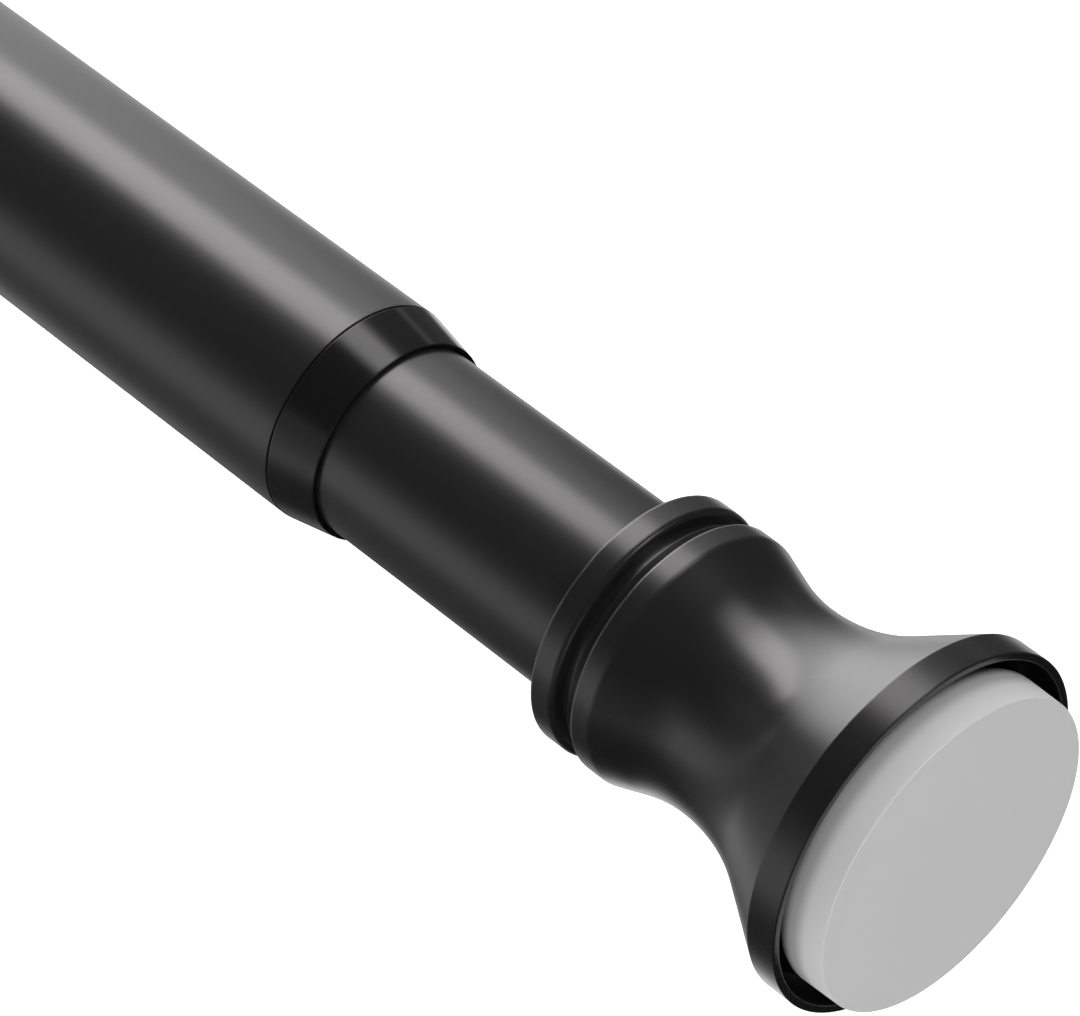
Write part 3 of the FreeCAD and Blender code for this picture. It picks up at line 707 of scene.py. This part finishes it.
@built_once("Fine grain")
def grain_group(name):
    """Fine surface grain: a height, and a slow shade that drifts over the surface."""
    tree, given, out = new_group(name, "ShaderNodeTree", [
        ("Vector", "Vector", None),
        ("Grain Scale", "Float", 2500.0),
        ("Orange Peel", "Float", 0.3),
        ("Drift Scale", "Float", 30.0),
    ], [("Height", "Float"), ("Drift", "Float")])
    fine = noise(tree, given["Vector"], given["Grain Scale"], 2.0, 0.6)
    peel = noise(tree, given["Vector"], maths(tree, "DIVIDE", given["Grain Scale"], 5.0), 1.0)
    raised = maths(tree, "MULTIPLY", peel, given["Orange Peel"])
    tree.links.new(maths(tree, "ADD", fine, raised), out["Height"])
    tree.links.new(noise(tree, given["Vector"], given["Drift Scale"], 3.0, 0.55), out["Drift"])
    return tree


@built_once("Rubbed edges")
def wear_and_highlight_group(name):
    """Rubbing and painted edge highlight: a mask that breaks up along the rounded edges."""
    tree, given, out = new_group(name, "ShaderNodeTree", [
        ("Vector", "Vector", None),
        ("Edge", "Float", 0.0),
        ("Break Up Scale", "Float", 400.0),
    ], [("Mask", "Float")])
    broken = noise(tree, given["Vector"], given["Break Up Scale"], 3.0, 0.6)
    patch = ranged(tree, broken, 0.3, 1.0, 0.35, 0.65)
    tree.links.new(maths(tree, "MULTIPLY", patch, given["Edge"]), out["Mask"])
    return tree


# ---------------------------------------------------------------- finishes

DRIFT_SCALE = 30.0
DRIFT_RANGE = (0.3, 0.7)
# How far the marked edges are lightened: partly rubbing, partly a painted edge highlight
RUB_AND_HIGHLIGHT_SHARE = 0.8
RUBBED_SMOOTHER = 0.25
BLACK_DRIFT = 1.35
PAD_DRIFT = (0.985, 1.015)
PAD_SPREAD = 0.04
# Colour factor of the painted shade on the pad next to the rim
FOOT_SHADE = 0.6


def toned(colour, factor):
    """A colour made darker or paler."""
    return tuple(min(1, value * factor) for value in colour)


def mixed(tree, mask, low, high):
    """A colour that goes from one to another by a mask, where each is a colour or a socket."""
    mix = put(tree, "ShaderNodeMix", {"Factor": mask}, data_type="RGBA")
    for name, value in (("A", low), ("B", high)):
        socket = next(s for s in mix.inputs if s.name == name and s.type == "RGBA")
        if isinstance(value, bpy.types.NodeSocket):
            tree.links.new(value, socket)
        else:
            socket.default_value = (*value, 1)
    return next(s for s in mix.outputs if s.type == "RGBA")


def new_finish(name, grain, peel, drift=DRIFT_SCALE):
    """A new material: its tree, its Principled shader, the piece's own coordinates and its fine grain."""
    material = bpy.data.materials.new(name)
    material.use_nodes = True
    tree = material.node_tree
    shader = next(n for n in tree.nodes if n.type == "BSDF_PRINCIPLED")
    place = put(tree, "ShaderNodeTexCoord").outputs["Object"]
    surface = put(tree, "ShaderNodeGroup", {
        "Vector": place, "Grain Scale": grain, "Orange Peel": peel, "Drift Scale": drift},
        node_tree=grain_group()).outputs
    return material, tree, shader, place, surface


def drifting(tree, surface, low, high):
    """A number that drifts slowly over the surface."""
    return ranged(tree, surface["Drift"], low, high, *DRIFT_RANGE)


def relief(tree, surface, strength, depth=0.03):
    """Fine surface relief, its depth in millimetres."""
    return put(tree, "ShaderNodeBump", {
        "Height": surface["Height"], "Strength": strength, "Distance": depth * MM}).outputs[0]


def black_finish(name, base, roughness, shine, rubbed_and_highlight, spread, grain, peel, strength):
    """Black paint or moulded plastic with fine grain, and edges lightened by rubbing and a painted highlight.
    """
    material, tree, shader, place, surface = new_finish(name, grain, peel)
    edge = put(tree, "ShaderNodeAttribute", attribute_name="edge").outputs["Fac"]
    wear_and_highlight = put(tree, "ShaderNodeGroup", {"Vector": place, "Edge": edge},
               node_tree=wear_and_highlight_group()).outputs["Mask"]
    # Painted highlight: the marked edges' colour is lightened towards a paler grey, which also stands for
    # rubbing
    rub_and_highlight_share = maths(tree, "MULTIPLY", wear_and_highlight, RUB_AND_HIGHLIGHT_SHARE)
    body = mixed(tree, surface["Drift"], base, toned(base, BLACK_DRIFT))
    rough = drifting(tree, surface, roughness - spread, roughness + spread)
    smoother = maths(tree, "MULTIPLY", wear_and_highlight, roughness * RUBBED_SMOOTHER)
    connect(tree, shader, {
        "Base Color": mixed(tree, rub_and_highlight_share, body, (rubbed_and_highlight, rubbed_and_highlight, rubbed_and_highlight)),
        "Roughness": maths(tree, "SUBTRACT", rough, smoother),
        "Specular IOR Level": shine,
        "Normal": relief(tree, surface, strength)})
    return material


def tube_paint():
    """Satin black paint."""
    f = finish()
    return black_finish("Satin black paint", f.tube_colour, f.tube_roughness, f.tube_shine,
                        rubbed_and_highlight=0.03, spread=0.012, grain=2600.0, peel=0.5, strength=0.14)


def collar_gloss():
    """Glossy black moulded plastic."""
    f = finish()
    return black_finish("Glossy black plastic", f.collar_colour, f.collar_roughness, 1.0,
                        rubbed_and_highlight=0.02, spread=0.01, grain=1400.0, peel=0.8, strength=0.012)


def cap_plastic():
    """Satin black moulded plastic."""
    f = finish()
    return black_finish("Satin black plastic", f.cap_colour, f.cap_roughness, f.cap_shine,
                        rubbed_and_highlight=0.07, spread=0.012, grain=2100.0, peel=0.4, strength=0.018)


def pad_rubber():
    """Light grey rubber with a fine moulded grain, and painted shade where it comes out of the rim."""
    f = finish()
    material, tree, shader, place, surface = new_finish("Light grey rubber", 3200.0, 0.5, 60.0)
    # Painted shade: the pad's colour darkens towards the rim, by its distance from the rod's end
    along = put(tree, "ShaderNodeSeparateXYZ", {0: place}).outputs[0]
    beyond = maths(tree, "ABSOLUTE", maths(tree, "SUBTRACT", along, ROD_END / 2))
    inward = maths(tree, "SUBTRACT", ROD_END / 2, beyond)
    proud = sizes().pad_proud
    foot = ranged(tree, inward, 0.0, 1.0, proud - PAD_FOOT_SHADE * MM, proud, interpolation_type="SMOOTHSTEP")
    rubber = mixed(tree, surface["Drift"], *(toned(f.pad_colour, factor) for factor in PAD_DRIFT))
    connect(tree, shader, {
        "Base Color": mixed(tree, foot, rubber, toned(f.pad_colour, FOOT_SHADE)),
        "Roughness": drifting(tree, surface, f.pad_roughness - PAD_SPREAD, f.pad_roughness + PAD_SPREAD),
        "Specular IOR Level": 0.35,
        "Normal": relief(tree, surface, 0.08)})
    return material


def natural_plastic():
    """Natural moulded plastic with faint flow marks along the rod."""
    f = finish()
    material, tree, shader, place, surface = new_finish("Natural plastic", 1800.0, 0.6)
    drawn = put(tree, "ShaderNodeMapping", {"Vector": place, "Scale": (0.25, 1.0, 1.0)}).outputs[0]
    flow = noise(tree, drawn, 160.0, 3.0)
    connect(tree, shader, {
        "Base Color": mixed(tree, flow, toned(f.plastic_colour, 0.9), f.plastic_colour),
        "Roughness": drifting(tree, surface, 0.42, 0.5),
        "Subsurface Weight": 0.15,
        "Subsurface Radius": (0.001, 0.0009, 0.0007),
        "Normal": relief(tree, surface, 0.1)})
    return material


def zinc_plate():
    """Zinc plated steel with a fine crystal mottle."""
    f = finish()
    material, tree, shader, place, surface = new_finish("Zinc plated steel", 2200.0, 0.7)
    cells = put(tree, "ShaderNodeTexVoronoi", {"Vector": place, "Scale": 1100.0})
    mottle = put(tree, "ShaderNodeSeparateColor", {0: cells.outputs["Color"]}).outputs[0]
    connect(tree, shader, {
        "Base Color": mixed(tree, mottle, toned(f.zinc_colour, 0.82), f.zinc_colour),
        "Roughness": drifting(tree, surface, 0.24, 0.36),
        "Metallic": 1.0,
        "Normal": relief(tree, surface, 0.08, 0.02)})
    return material


def spring_wire():
    """Oiled spring wire with drawn marks and a dark bloom."""
    f = finish()
    material, tree, shader, place, surface = new_finish("Oiled spring wire", 2600.0, 0.4, 140.0)
    bloom = ranged(tree, surface["Drift"], 0.0, 1.0, 0.35, 0.65)
    connect(tree, shader, {
        "Base Color": mixed(tree, bloom, toned(f.wire_colour, 0.6), f.wire_colour),
        "Roughness": ranged(tree, bloom, 0.4, 0.28),
        "Metallic": 1.0,
        "Normal": relief(tree, surface, 0.06, 0.02)})
    return material


def dress(nodes, material):
    """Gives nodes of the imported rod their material."""
    for node in nodes:
        for material_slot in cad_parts[node].material_slots:
            material_slot.material = material


# ---------------------------------------------------------------- operators

class ROD_OT_tubes(bpy.types.Operator):
    """Makes the two painted tubes"""

    bl_idname = "tension_rod.tubes"
    bl_label = "Tubes"

    def execute(self, context):
        paint = tube_paint()
        for node, body, outline in (("outer_tube", "root", outer_tube_outline()),
                                    ("inner_tube", "inner", inner_tube_outline())):
            stands_for(turned("painted_" + node, outline, paint), node, body)
        return {"FINISHED"}


class ROD_OT_collar(bpy.types.Operator):
    """Makes the tapered collar in the large tube's mouth"""

    bl_idname = "tension_rod.collar"
    bl_label = "Collar"

    def execute(self, context):
        collar = turned("tapered_collar", collar_outline(), collar_gloss())
        stands_for(collar, "mouth_collar", "root")
        return {"FINISHED"}


class ROD_OT_end_caps(bpy.types.Operator):
    """Makes the two bell-shaped caps and the stepped rings behind them"""

    bl_idname = "tension_rod.end_caps"
    bl_label = "End caps"

    def execute(self, context):
        plastic = cap_plastic()
        s = sizes()
        recess = s.pad_proud / MM + RECESS_DEPTH
        pocket = recess + POCKET_DEPTH
        for end, tube_r, body in (("fixed", OUTER_R / MM, "root"), ("moving", INNER_R / MM, "inner")):
            bell = bell_outline(tube_r)
            ring = ring_outline(tube_r)
            rib = [(recess + RIB_SETBACK) * MM, (pocket + RIB_OVERLAP) * MM]
            if end == "moving":
                bell = at_moving_end(bell)
                ring = at_moving_end(ring)
                rib = [ROD_END - x for x in rib]
            cap = grown(end + "_bell", outline_mesh(bell, True), ribbed_tree(), {
                "Facets Round": FACETS_ROUND, "Closed Section": 1, "Rib Count": s.rib_count,
                "Rib Start": rib[0], "Rib End": rib[1], "Rib Width": s.rib_width,
                "Rib Inner Radius": (HUB_R - RIB_OVERLAP) * MM,
                "Rib Outer Radius": (flare_radius(pocket) - POCKET_WALL + RIB_OVERLAP) * MM,
                "Sharp Angle": SHARP_ANGLE, "Material": plastic})
            stands_for(cap, end + "_end_cap", body)
            stands_for(turned(end + "_stepped_ring", ring, plastic), end + "_cap_ring", body)
        return {"FINISHED"}


class ROD_OT_wall_pads(bpy.types.Operator):
    """Makes the two rubber pads that press on the walls"""

    bl_idname = "tension_rod.wall_pads"
    bl_label = "Wall pads"

    def execute(self, context):
        rubber = pad_rubber()
        outline = pad_outline()
        for end, body, corners in (("fixed", "root", outline), ("moving", "inner", at_moving_end(outline))):
            pad = turned(end + "_rubber_pad", corners, rubber, closed=False)
            stands_for(pad, end + "_wall_pad", body)
        return {"FINISHED"}


class ROD_OT_spring(bpy.types.Operator):
    """Winds the coil spring and puts it on the core body, with a mesh of its own"""

    bl_idname = "tension_rod.spring"
    bl_label = "Spring"

    def execute(self, context):
        s = sizes()
        base = bpy.data.meshes.new("wire")
        base.from_pydata([(SPRING_REAR, 0, 0)], [], [])
        free_length = SPRING_FRONT - SPRING_REAR
        spring = grown("coil_spring", base, spring_tree(), {
            "Start": SPRING_REAR, "Length": free_length, "Mean Diameter": s.spring_diameter,
            "Wire Diameter": s.wire_diameter, "Turns": s.spring_turns,
            "Steps Per Turn": SPRING_STEPS, "Wire Sides": WIRE_SIDES, "Material": spring_wire()})
        stands_for(spring, "compression_spring", "core")
        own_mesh(spring)
        return {"FINISHED"}


class ROD_OT_inner_works(bpy.types.Operator):
    """Gives the plugs, the twist lock and the screws inside the rod their finishes"""

    bl_idname = "tension_rod.inner_works"
    bl_label = "Inner works"

    def execute(self, context):
        dress(("fixed_tube_plug", "moving_tube_plug", "guide_bush", "spring_seat", "spring_follower",
               "expander_sleeve", "wedge_nut", "hex_shaft"), natural_plastic())
        dress(("fixed_cap_screw", "moving_cap_screw", "lock_stud", "stud_stop_ring", "follower_retainer"),
              zinc_plate())
        return {"FINISHED"}


# ---------------------------------------------------------------- studio

# The camera, the floor, the background and the lamps that show in the gloss, in metres and degrees
CAMERA_PLACE = (0.84413, -0.24343, 0.35473)
CAMERA_FORWARD = (-0.51577, 0.4901, -0.7027)
CAMERA_LENS = 168.25
CAMERA_SENSOR = 36.0
CAMERA_FAR = 200.0
FLOOR_HALF = 60.0
FLOOR_SEEN_GLOW = 0.62
FLOOR_MIRRORED_GLOW = 0.05
CEILING_GLOW = 0.03
HORIZON = (-0.02, 0.08)
TOP_STRIP_ANGLE = 111
TOP_STRIP_X = -0.96
TOP_STRIP_SIZE = (2.08, 0.42)
KICKER_ANGLE = 166
KICKER_DISTANCE = 0.6
KICKER_X = 0.34
KICKER_SIZE = (0.10, 0.07)
KICKER_BRIGHTNESS = 0.25
NEARLY_ALONG_ROD = 0.8

# Lamps that light the part but don't show in its gloss: name, place, target, size, brightness
FILL_LAMPS = (
    ("back_panel", (-1.2, 1.04, 0.6), (-1.2, 0, 0), (2.2, 1.1), 0.5),
    ("far_end_panel", (-2.2, 1.1, -0.05), (0.6, 0, 0), (1.5, 0.9), 2.6),
    ("low_front_fill", (1.08, -0.92, -0.16), (0.64, 0, 0), (0.6, 0.6), 6.0),
    ("high_back_fill", (1.05, 0.5, 1.02), (0.64, 0, 0), (0.6, 0.6), 9.3),
)

# Cards that show in the gloss: places across in metres, then each row's place and its brightness
CARD_BELOW_Z = -0.3
CARD_BEHIND_Y = 0.62
CARD_BEFORE_Y = -1.3
STRIP_DISTANCE = 0.7
FAR_DISTANCE = 1.5
BELOW_ACROSS = (-4, -1, 0, 0.15, 0.22, 0.28, 0.34, 0.39, 0.42, 0.45, 0.50, 0.55, 0.62, 0.70, 1.6)
BELOW_LEVELS = {
    -1.30: (0.40, 0.45, 0.55, 0.50, 0.38, 0.24, 0.20, 0.20, 0.20, 0.25, 0.22, 0.18, 0.15, 0.15, 0.15),
    -0.70: (0.30, 0.34, 0.66, 0.66, 0.62, 0.50, 0.38, 0.28, 0.25, 0.20, 0.18, 0.16, 0.15, 0.14, 0.12),
    -0.42: (0.18, 0.22, 0.34, 0.34, 0.28, 0.22, 0.18, 0.15, 0.07, 0.04, 0.03, 0.02, 0.02, 0.02, 0.02),
    -0.38: (0.16, 0.18, 0.28, 0.28, 0.22, 0.18, 0.15, 0.13, 0.06, 0.03, 0.02, 0.01, 0.01, 0.01, 0.01),
    -0.20: (0.17, 0.18, 0.20, 0.18, 0.16, 0.15, 0.14, 0.12, 0.05, 0.04, 0.05, 0.01, 0.01, 0.01, 0.01),
    -0.10: (0.17, 0.18, 0.22, 0.32, 0.32, 0.24, 0.17, 0.11, 0.04, 0.04, 0.09, 0.01, 0.01, 0.01, 0.01),
    -0.04: (0.18, 0.20, 0.26, 0.50, 0.62, 0.50, 0.25, 0.12, 0.09, 0.12, 0.42, 0.06, 0.02, 0.01, 0.01),
    0.04: (0.18, 0.20, 0.30, 0.50, 0.66, 0.66, 0.38, 0.12, 0.25, 0.55, 1.55, 0.35, 0.06, 0.01, 0.01),
    0.10: (0.20, 0.25, 0.35, 0.45, 0.40, 0.28, 0.12, 0.12, 0.50, 0.95, 1.80, 0.60, 0.10, 0.01, 0.01),
    0.20: (0.30, 0.30, 0.40, 0.50, 0.40, 0.22, 0.10, 0.18, 0.60, 0.90, 1.40, 0.60, 0.10, 0.01, 0.01),
    0.34: (0.60, 0.60, 0.60, 0.75, 0.80, 0.85, 0.45, 0.45, 0.80, 1.00, 1.00, 0.70, 0.15, 0.01, 0.01),
    0.45: (0.90, 0.90, 0.90, 1.10, 1.10, 1.30, 1.10, 1.10, 1.20, 1.10, 1.00, 0.70, 0.20, 0.02, 0.01),
    0.62: (1.30, 1.10, 0.75, 0.65, 0.40, 0.45, 0.30, 0.25, 0.30, 0.25, 0.20, 0.20, 0.10, 0.05, 0.05),
}
BEHIND_ACROSS = (-7, -2, -1.3, -0.6, -0.25, -0.05, 0.05, 0.12, 0.17, 0.22, 0.27, 0.33, 0.5, 1.5)
BEHIND_LEVELS = {
    -0.30: (1.40, 1.80, 1.90, 1.60, 1.30, 0.95, 0.72, 0.62, 0.48, 0.12, 0.12, 0.15, 0.15, 0.05),
    -0.24: (1.60, 2.20, 2.30, 2.00, 1.55, 1.02, 0.72, 0.56, 0.34, 0.05, 0.06, 0.12, 0.20, 0.05),
    -0.15: (2.00, 3.00, 3.00, 2.70, 2.15, 1.20, 0.75, 0.52, 0.38, 0.17, 0.09, 0.09, 0.05, 0.03),
    0.05: (2.40, 3.30, 3.10, 2.90, 2.20, 1.35, 0.95, 0.60, 0.44, 0.24, 0.11, 0.11, 0.03, 0.03),
    0.30: (2.40, 3.00, 2.80, 2.50, 1.95, 1.55, 1.25, 0.90, 0.70, 0.34, 0.15, 0.07, 0.03, 0.03),
    0.70: (0.30, 0.80, 1.20, 2.30, 1.80, 1.20, 0.85, 0.55, 0.42, 0.20, 0.10, 0.06, 0.04, 0.03),
    0.90: (0.10, 0.30, 0.50, 1.00, 0.80, 0.50, 0.30, 0.20, 0.10, 0.05, 0.05, 0.05, 0.05, 0.05),
}
BEFORE_ACROSS = (-7, -2, -1.2, -0.5, -0.2, 0, 0.12, 0.25, 0.5, 0.8, 2.2)
BEFORE_LEVELS = {
    -0.30: (0.35, 0.35, 0.38, 0.58, 0.64, 0.62, 0.48, 0.28, 0.12, 0.07, 0.05),
    -0.13: (0.30, 0.28, 0.32, 0.56, 0.68, 0.66, 0.46, 0.22, 0.10, 0.06, 0.04),
    0.03: (0.24, 0.22, 0.23, 0.38, 0.50, 0.50, 0.36, 0.20, 0.08, 0.05, 0.03),
    0.20: (0.15, 0.15, 0.16, 0.17, 0.20, 0.22, 0.22, 0.20, 0.04, 0.02, 0.02),
    0.42: (0.12, 0.12, 0.12, 0.10, 0.10, 0.12, 0.15, 0.20, 0.02, 0.01, 0.01),
    0.60: (0.14, 0.12, 0.10, 0.06, 0.05, 0.05, 0.05, 0.05, 0.01, 0.01, 0.01),
    0.85: (0.16, 0.13, 0.10, 0.02, 0.02, 0.02, 0.02, 0.02, 0.02, 0.02, 0.02),
    1.90: (0.30, 0.25, 0.08, 0.02, 0.02, 0.02, 0.02, 0.02, 0.02, 0.02, 0.02),
}
STRIP_TINT = (1, 0.97, 0.985)
STRIP_ACROSS = (0.08, 0.15, 0.20, 0.24, 0.28, 0.36, 0.44, 0.52, 0.60)
STRIP_LEVELS = {
    93: (0,) * 9,
    97: (4.10, 3.80, 3.30, 2.70, 2.00, 0.90, 0.60, 0.30, 0.00),
    103: (4.10, 3.80, 3.30, 2.70, 2.10, 1.90, 1.80, 0.90, 0.00),
    118: (4.10, 3.80, 3.30, 2.70, 2.10, 1.90, 1.80, 0.90, 0.00),
    126: (4.10, 3.80, 3.30, 2.40, 1.30, 0.20, 0.10, 0.05, 0.00),
    131: (0,) * 9,
}
FAR_ACROSS = (1.1, 1.4, 2.4, 2.8)
FAR_LEVELS = {
    96: (0,) * 4,
    108: (0.00, 1.60, 1.60, 0.00),
    126: (0.00, 2.40, 2.40, 0.00),
    138: (0,) * 4,
}


def aim(thing, right, up, back, place):
    """Turns a lamp or a camera by its own three axes, and puts it in its place."""
    thing.matrix_world = Matrix(((*right, 0), (*up, 0), (*back, 0), (*place, 1))).transposed()


def area_lamp(name, place, target, size, brightness):
    """A soft lamp at a place, aimed at a target, with its length along the rod where it can be."""
    lamp = bpy.data.lights.new(name, "AREA")
    lamp.shape = "RECTANGLE"
    lamp.size, lamp.size_y = size
    lamp.energy = brightness * math.pi * size[0] * size[1]
    holder = placed(name, lamp)
    back = (Vector(place) - Vector(target)).normalized()
    side = Vector((0, 1, 0)) if abs(back.x) > NEARLY_ALONG_ROD else Vector((1, 0, 0))
    along = (side - back * side.dot(back)).normalized()
    aim(holder, along, back.cross(along), back, place)
    holder.visible_camera = False
    return holder


def beside_rod(angle, distance, x):
    """A place beside the rod, at an angle about X from the front."""
    turn = math.radians(angle)
    return x, -math.cos(turn) * distance, math.sin(turn) * distance


def bare_material(name):
    """A material with nothing in it yet, and its tree."""
    material = bpy.data.materials.new(name)
    material.use_nodes = True
    material.node_tree.nodes.clear()
    return material, material.node_tree


def glow_node(tree, strength, tint=(1, 1, 1)):
    """An emission's output."""
    return put(tree, "ShaderNodeEmission", {"Color": (*tint, 1), "Strength": strength}).outputs[0]


def stage_piece(name, corners, faces, material):
    """A stage piece that isn't part of the rod."""
    mesh = bpy.data.meshes.new(name)
    mesh.from_pydata(corners, [], faces)
    mesh.materials.append(material)
    piece = placed(name, mesh)
    return piece


def graded_card(name, place, across, levels, tint=(1, 1, 1)):
    """A card that only shows in reflections, with its brightness given along it and row by row."""
    count = len(across)
    corners = [place(along, row) for row in levels for along in across]
    faces = [(k, k + 1, k + 1 + count, k + count)
             for row in range(len(levels) - 1) for k in range(row * count, (row + 1) * count - 1)]
    material, tree = bare_material(name)
    level = put(tree, "ShaderNodeAttribute", attribute_name="brightness").outputs["Fac"]
    put(tree, "ShaderNodeOutputMaterial", {"Surface": glow_node(tree, level, tint)})
    card = stage_piece(name, corners, faces, material)
    mark(card.data, "brightness", [value for row in levels.values() for value in row])
    for kind in ("camera", "diffuse", "shadow", "transmission"):
        setattr(card, "visible_" + kind, False)


def seen_rays(tree):
    """Masks of the rays that show the background: camera rays, and glossy or transmission rays."""
    rays = put(tree, "ShaderNodeLightPath").outputs
    mirrored = maths(tree, "MAXIMUM", rays["Is Glossy Ray"], rays["Is Transmission Ray"])
    return rays["Is Camera Ray"], mirrored


def add_floor():
    """The pale floor, which reads as white to the camera and keeps the rod's shadow."""
    material, tree = bare_material("Pale floor")
    camera, mirrored = seen_rays(tree)
    matte = put(tree, "ShaderNodeBsdfDiffuse", {"Color": (*studio().floor_colour, 1)})
    lift = maths(tree, "ADD", maths(tree, "MULTIPLY", camera, FLOOR_SEEN_GLOW),
                 maths(tree, "MULTIPLY", mirrored, FLOOR_MIRRORED_GLOW))
    both = put(tree, "ShaderNodeAddShader", {0: matte.outputs[0], 1: glow_node(tree, lift)})
    put(tree, "ShaderNodeOutputMaterial", {"Surface": both.outputs[0]})
    z = -studio().floor_drop
    corners = [(x * FLOOR_HALF, y * FLOOR_HALF, z) for x, y in ((-1, -1), (1, -1), (1, 1), (-1, 1))]
    stage_piece("floor", corners, [(0, 1, 2, 3)], material)


def add_cards():
    """The graded cards that the gloss mirrors."""
    graded_card("card_below", lambda x, y: (x, y, CARD_BELOW_Z), BELOW_ACROSS, BELOW_LEVELS)
    graded_card("card_behind", lambda x, z: (x, CARD_BEHIND_Y, z), BEHIND_ACROSS, BEHIND_LEVELS)
    graded_card("card_before", lambda x, z: (x, CARD_BEFORE_Y, z), BEFORE_ACROSS, BEFORE_LEVELS)
    graded_card("near_strip", lambda x, angle: beside_rod(angle, STRIP_DISTANCE, x),
                STRIP_ACROSS, STRIP_LEVELS, STRIP_TINT)
    graded_card("far_strip", lambda x, angle: beside_rod(angle, FAR_DISTANCE, x), FAR_ACROSS, FAR_LEVELS)


def add_background():
    """White to the camera, dark above in the gloss, and an even fill for all else."""
    world = bpy.data.worlds.new("Background")
    bpy.context.scene.world = world
    world.use_nodes = True
    tree = world.node_tree
    tree.nodes.clear()
    camera, mirrored = seen_rays(tree)
    direction = put(tree, "ShaderNodeTexCoord").outputs["Generated"]
    height = put(tree, "ShaderNodeSeparateXYZ", {0: direction}).outputs["Z"]
    ceiling = ranged(tree, height, 1.0, CEILING_GLOW, *HORIZON)
    white, reflected, fill = [
        put(tree, "ShaderNodeBackground", {"Color": (1, 1, 1, 1), "Strength": strength}).outputs[0]
        for strength in (1.0, ceiling, studio().fill)]
    glossy = put(tree, "ShaderNodeMixShader", {0: mirrored, 1: fill, 2: reflected}).outputs[0]
    seen = put(tree, "ShaderNodeMixShader", {0: camera, 1: glossy, 2: white}).outputs[0]
    put(tree, "ShaderNodeOutputWorld", {"Surface": seen})


def add_lamps():
    """The lamps that show in the gloss, and those that only light the rod."""
    strip = area_lamp("top_strip", beside_rod(TOP_STRIP_ANGLE, STRIP_DISTANCE, TOP_STRIP_X),
                      (TOP_STRIP_X, 0, 0), TOP_STRIP_SIZE, studio().top_strip)
    strip.data.color = STRIP_TINT
    area_lamp("back_kicker", beside_rod(KICKER_ANGLE, KICKER_DISTANCE, KICKER_X),
              (KICKER_X, 0, 0), KICKER_SIZE, KICKER_BRIGHTNESS)
    for row in FILL_LAMPS:
        area_lamp(*row).visible_glossy = False


def add_camera():
    """The camera at the photograph's place."""
    view = bpy.data.cameras.new("camera")
    view.lens = CAMERA_LENS
    view.sensor_width = CAMERA_SENSOR
    view.clip_end = CAMERA_FAR
    camera = placed("camera", view)
    forward = Vector(CAMERA_FORWARD).normalized()
    right = forward.cross(Vector((0, 0, 1))).normalized()
    aim(camera, right, right.cross(forward), -forward, CAMERA_PLACE)
    bpy.context.scene.camera = camera


class ROD_OT_studio(bpy.types.Operator):
    """Sets up the floor, the background, the lamps and the camera"""

    bl_idname = "tension_rod.studio"
    bl_label = "Studio"

    def execute(self, context):
        add_floor()
        add_cards()
        add_background()
        add_lamps()
        add_camera()
        context.scene.view_settings.view_transform = "Standard"
        return {"FINISHED"}


# ---------------------------------------------------------------- panel and main

OPERATORS = (ROD_OT_tubes, ROD_OT_collar, ROD_OT_end_caps, ROD_OT_wall_pads, ROD_OT_spring,
             ROD_OT_inner_works, ROD_OT_studio)
SETTINGS = (("rod_sizes", RodSizes), ("rod_finish", RodFinish), ("rod_studio", StudioSettings))


class ROD_PT_panel(bpy.types.Panel):
    """Lists the rod's pieces, sizes and finishes"""

    bl_idname = "ROD_PT_panel"
    bl_label = "Spring tension rod"
    bl_space_type = "VIEW_3D"
    bl_region_type = "UI"
    bl_category = "Tension rod"

    def draw(self, context):
        for operator in OPERATORS:
            self.layout.operator(operator.bl_idname)
        for name, group in SETTINGS:
            box = self.layout.box()
            settings = getattr(context.scene, name)
            for setting in group.__annotations__:
                box.prop(settings, setting)


def register():
    """Registers the settings, the operators and the panel."""
    for name, group in SETTINGS:
        bpy.utils.register_class(group)
        setattr(bpy.types.Scene, name, bpy.props.PointerProperty(type=group))
    for cls in (*OPERATORS, ROD_PT_panel):
        bpy.utils.register_class(cls)


def unregister():
    """Takes the panel, the operators and the settings out again."""
    for cls in reversed((*OPERATORS, ROD_PT_panel)):
        bpy.utils.unregister_class(cls)
    for name, group in reversed(SETTINGS):
        delattr(bpy.types.Scene, name)
        bpy.utils.unregister_class(group)


def main():
    """Makes the whole scene."""
    register()
    for name in ("studio", "tubes", "collar", "end_caps", "wall_pads", "spring", "inner_works"):
        getattr(bpy.ops.tension_rod, name)()


if __name__ == "__main__":
    main()
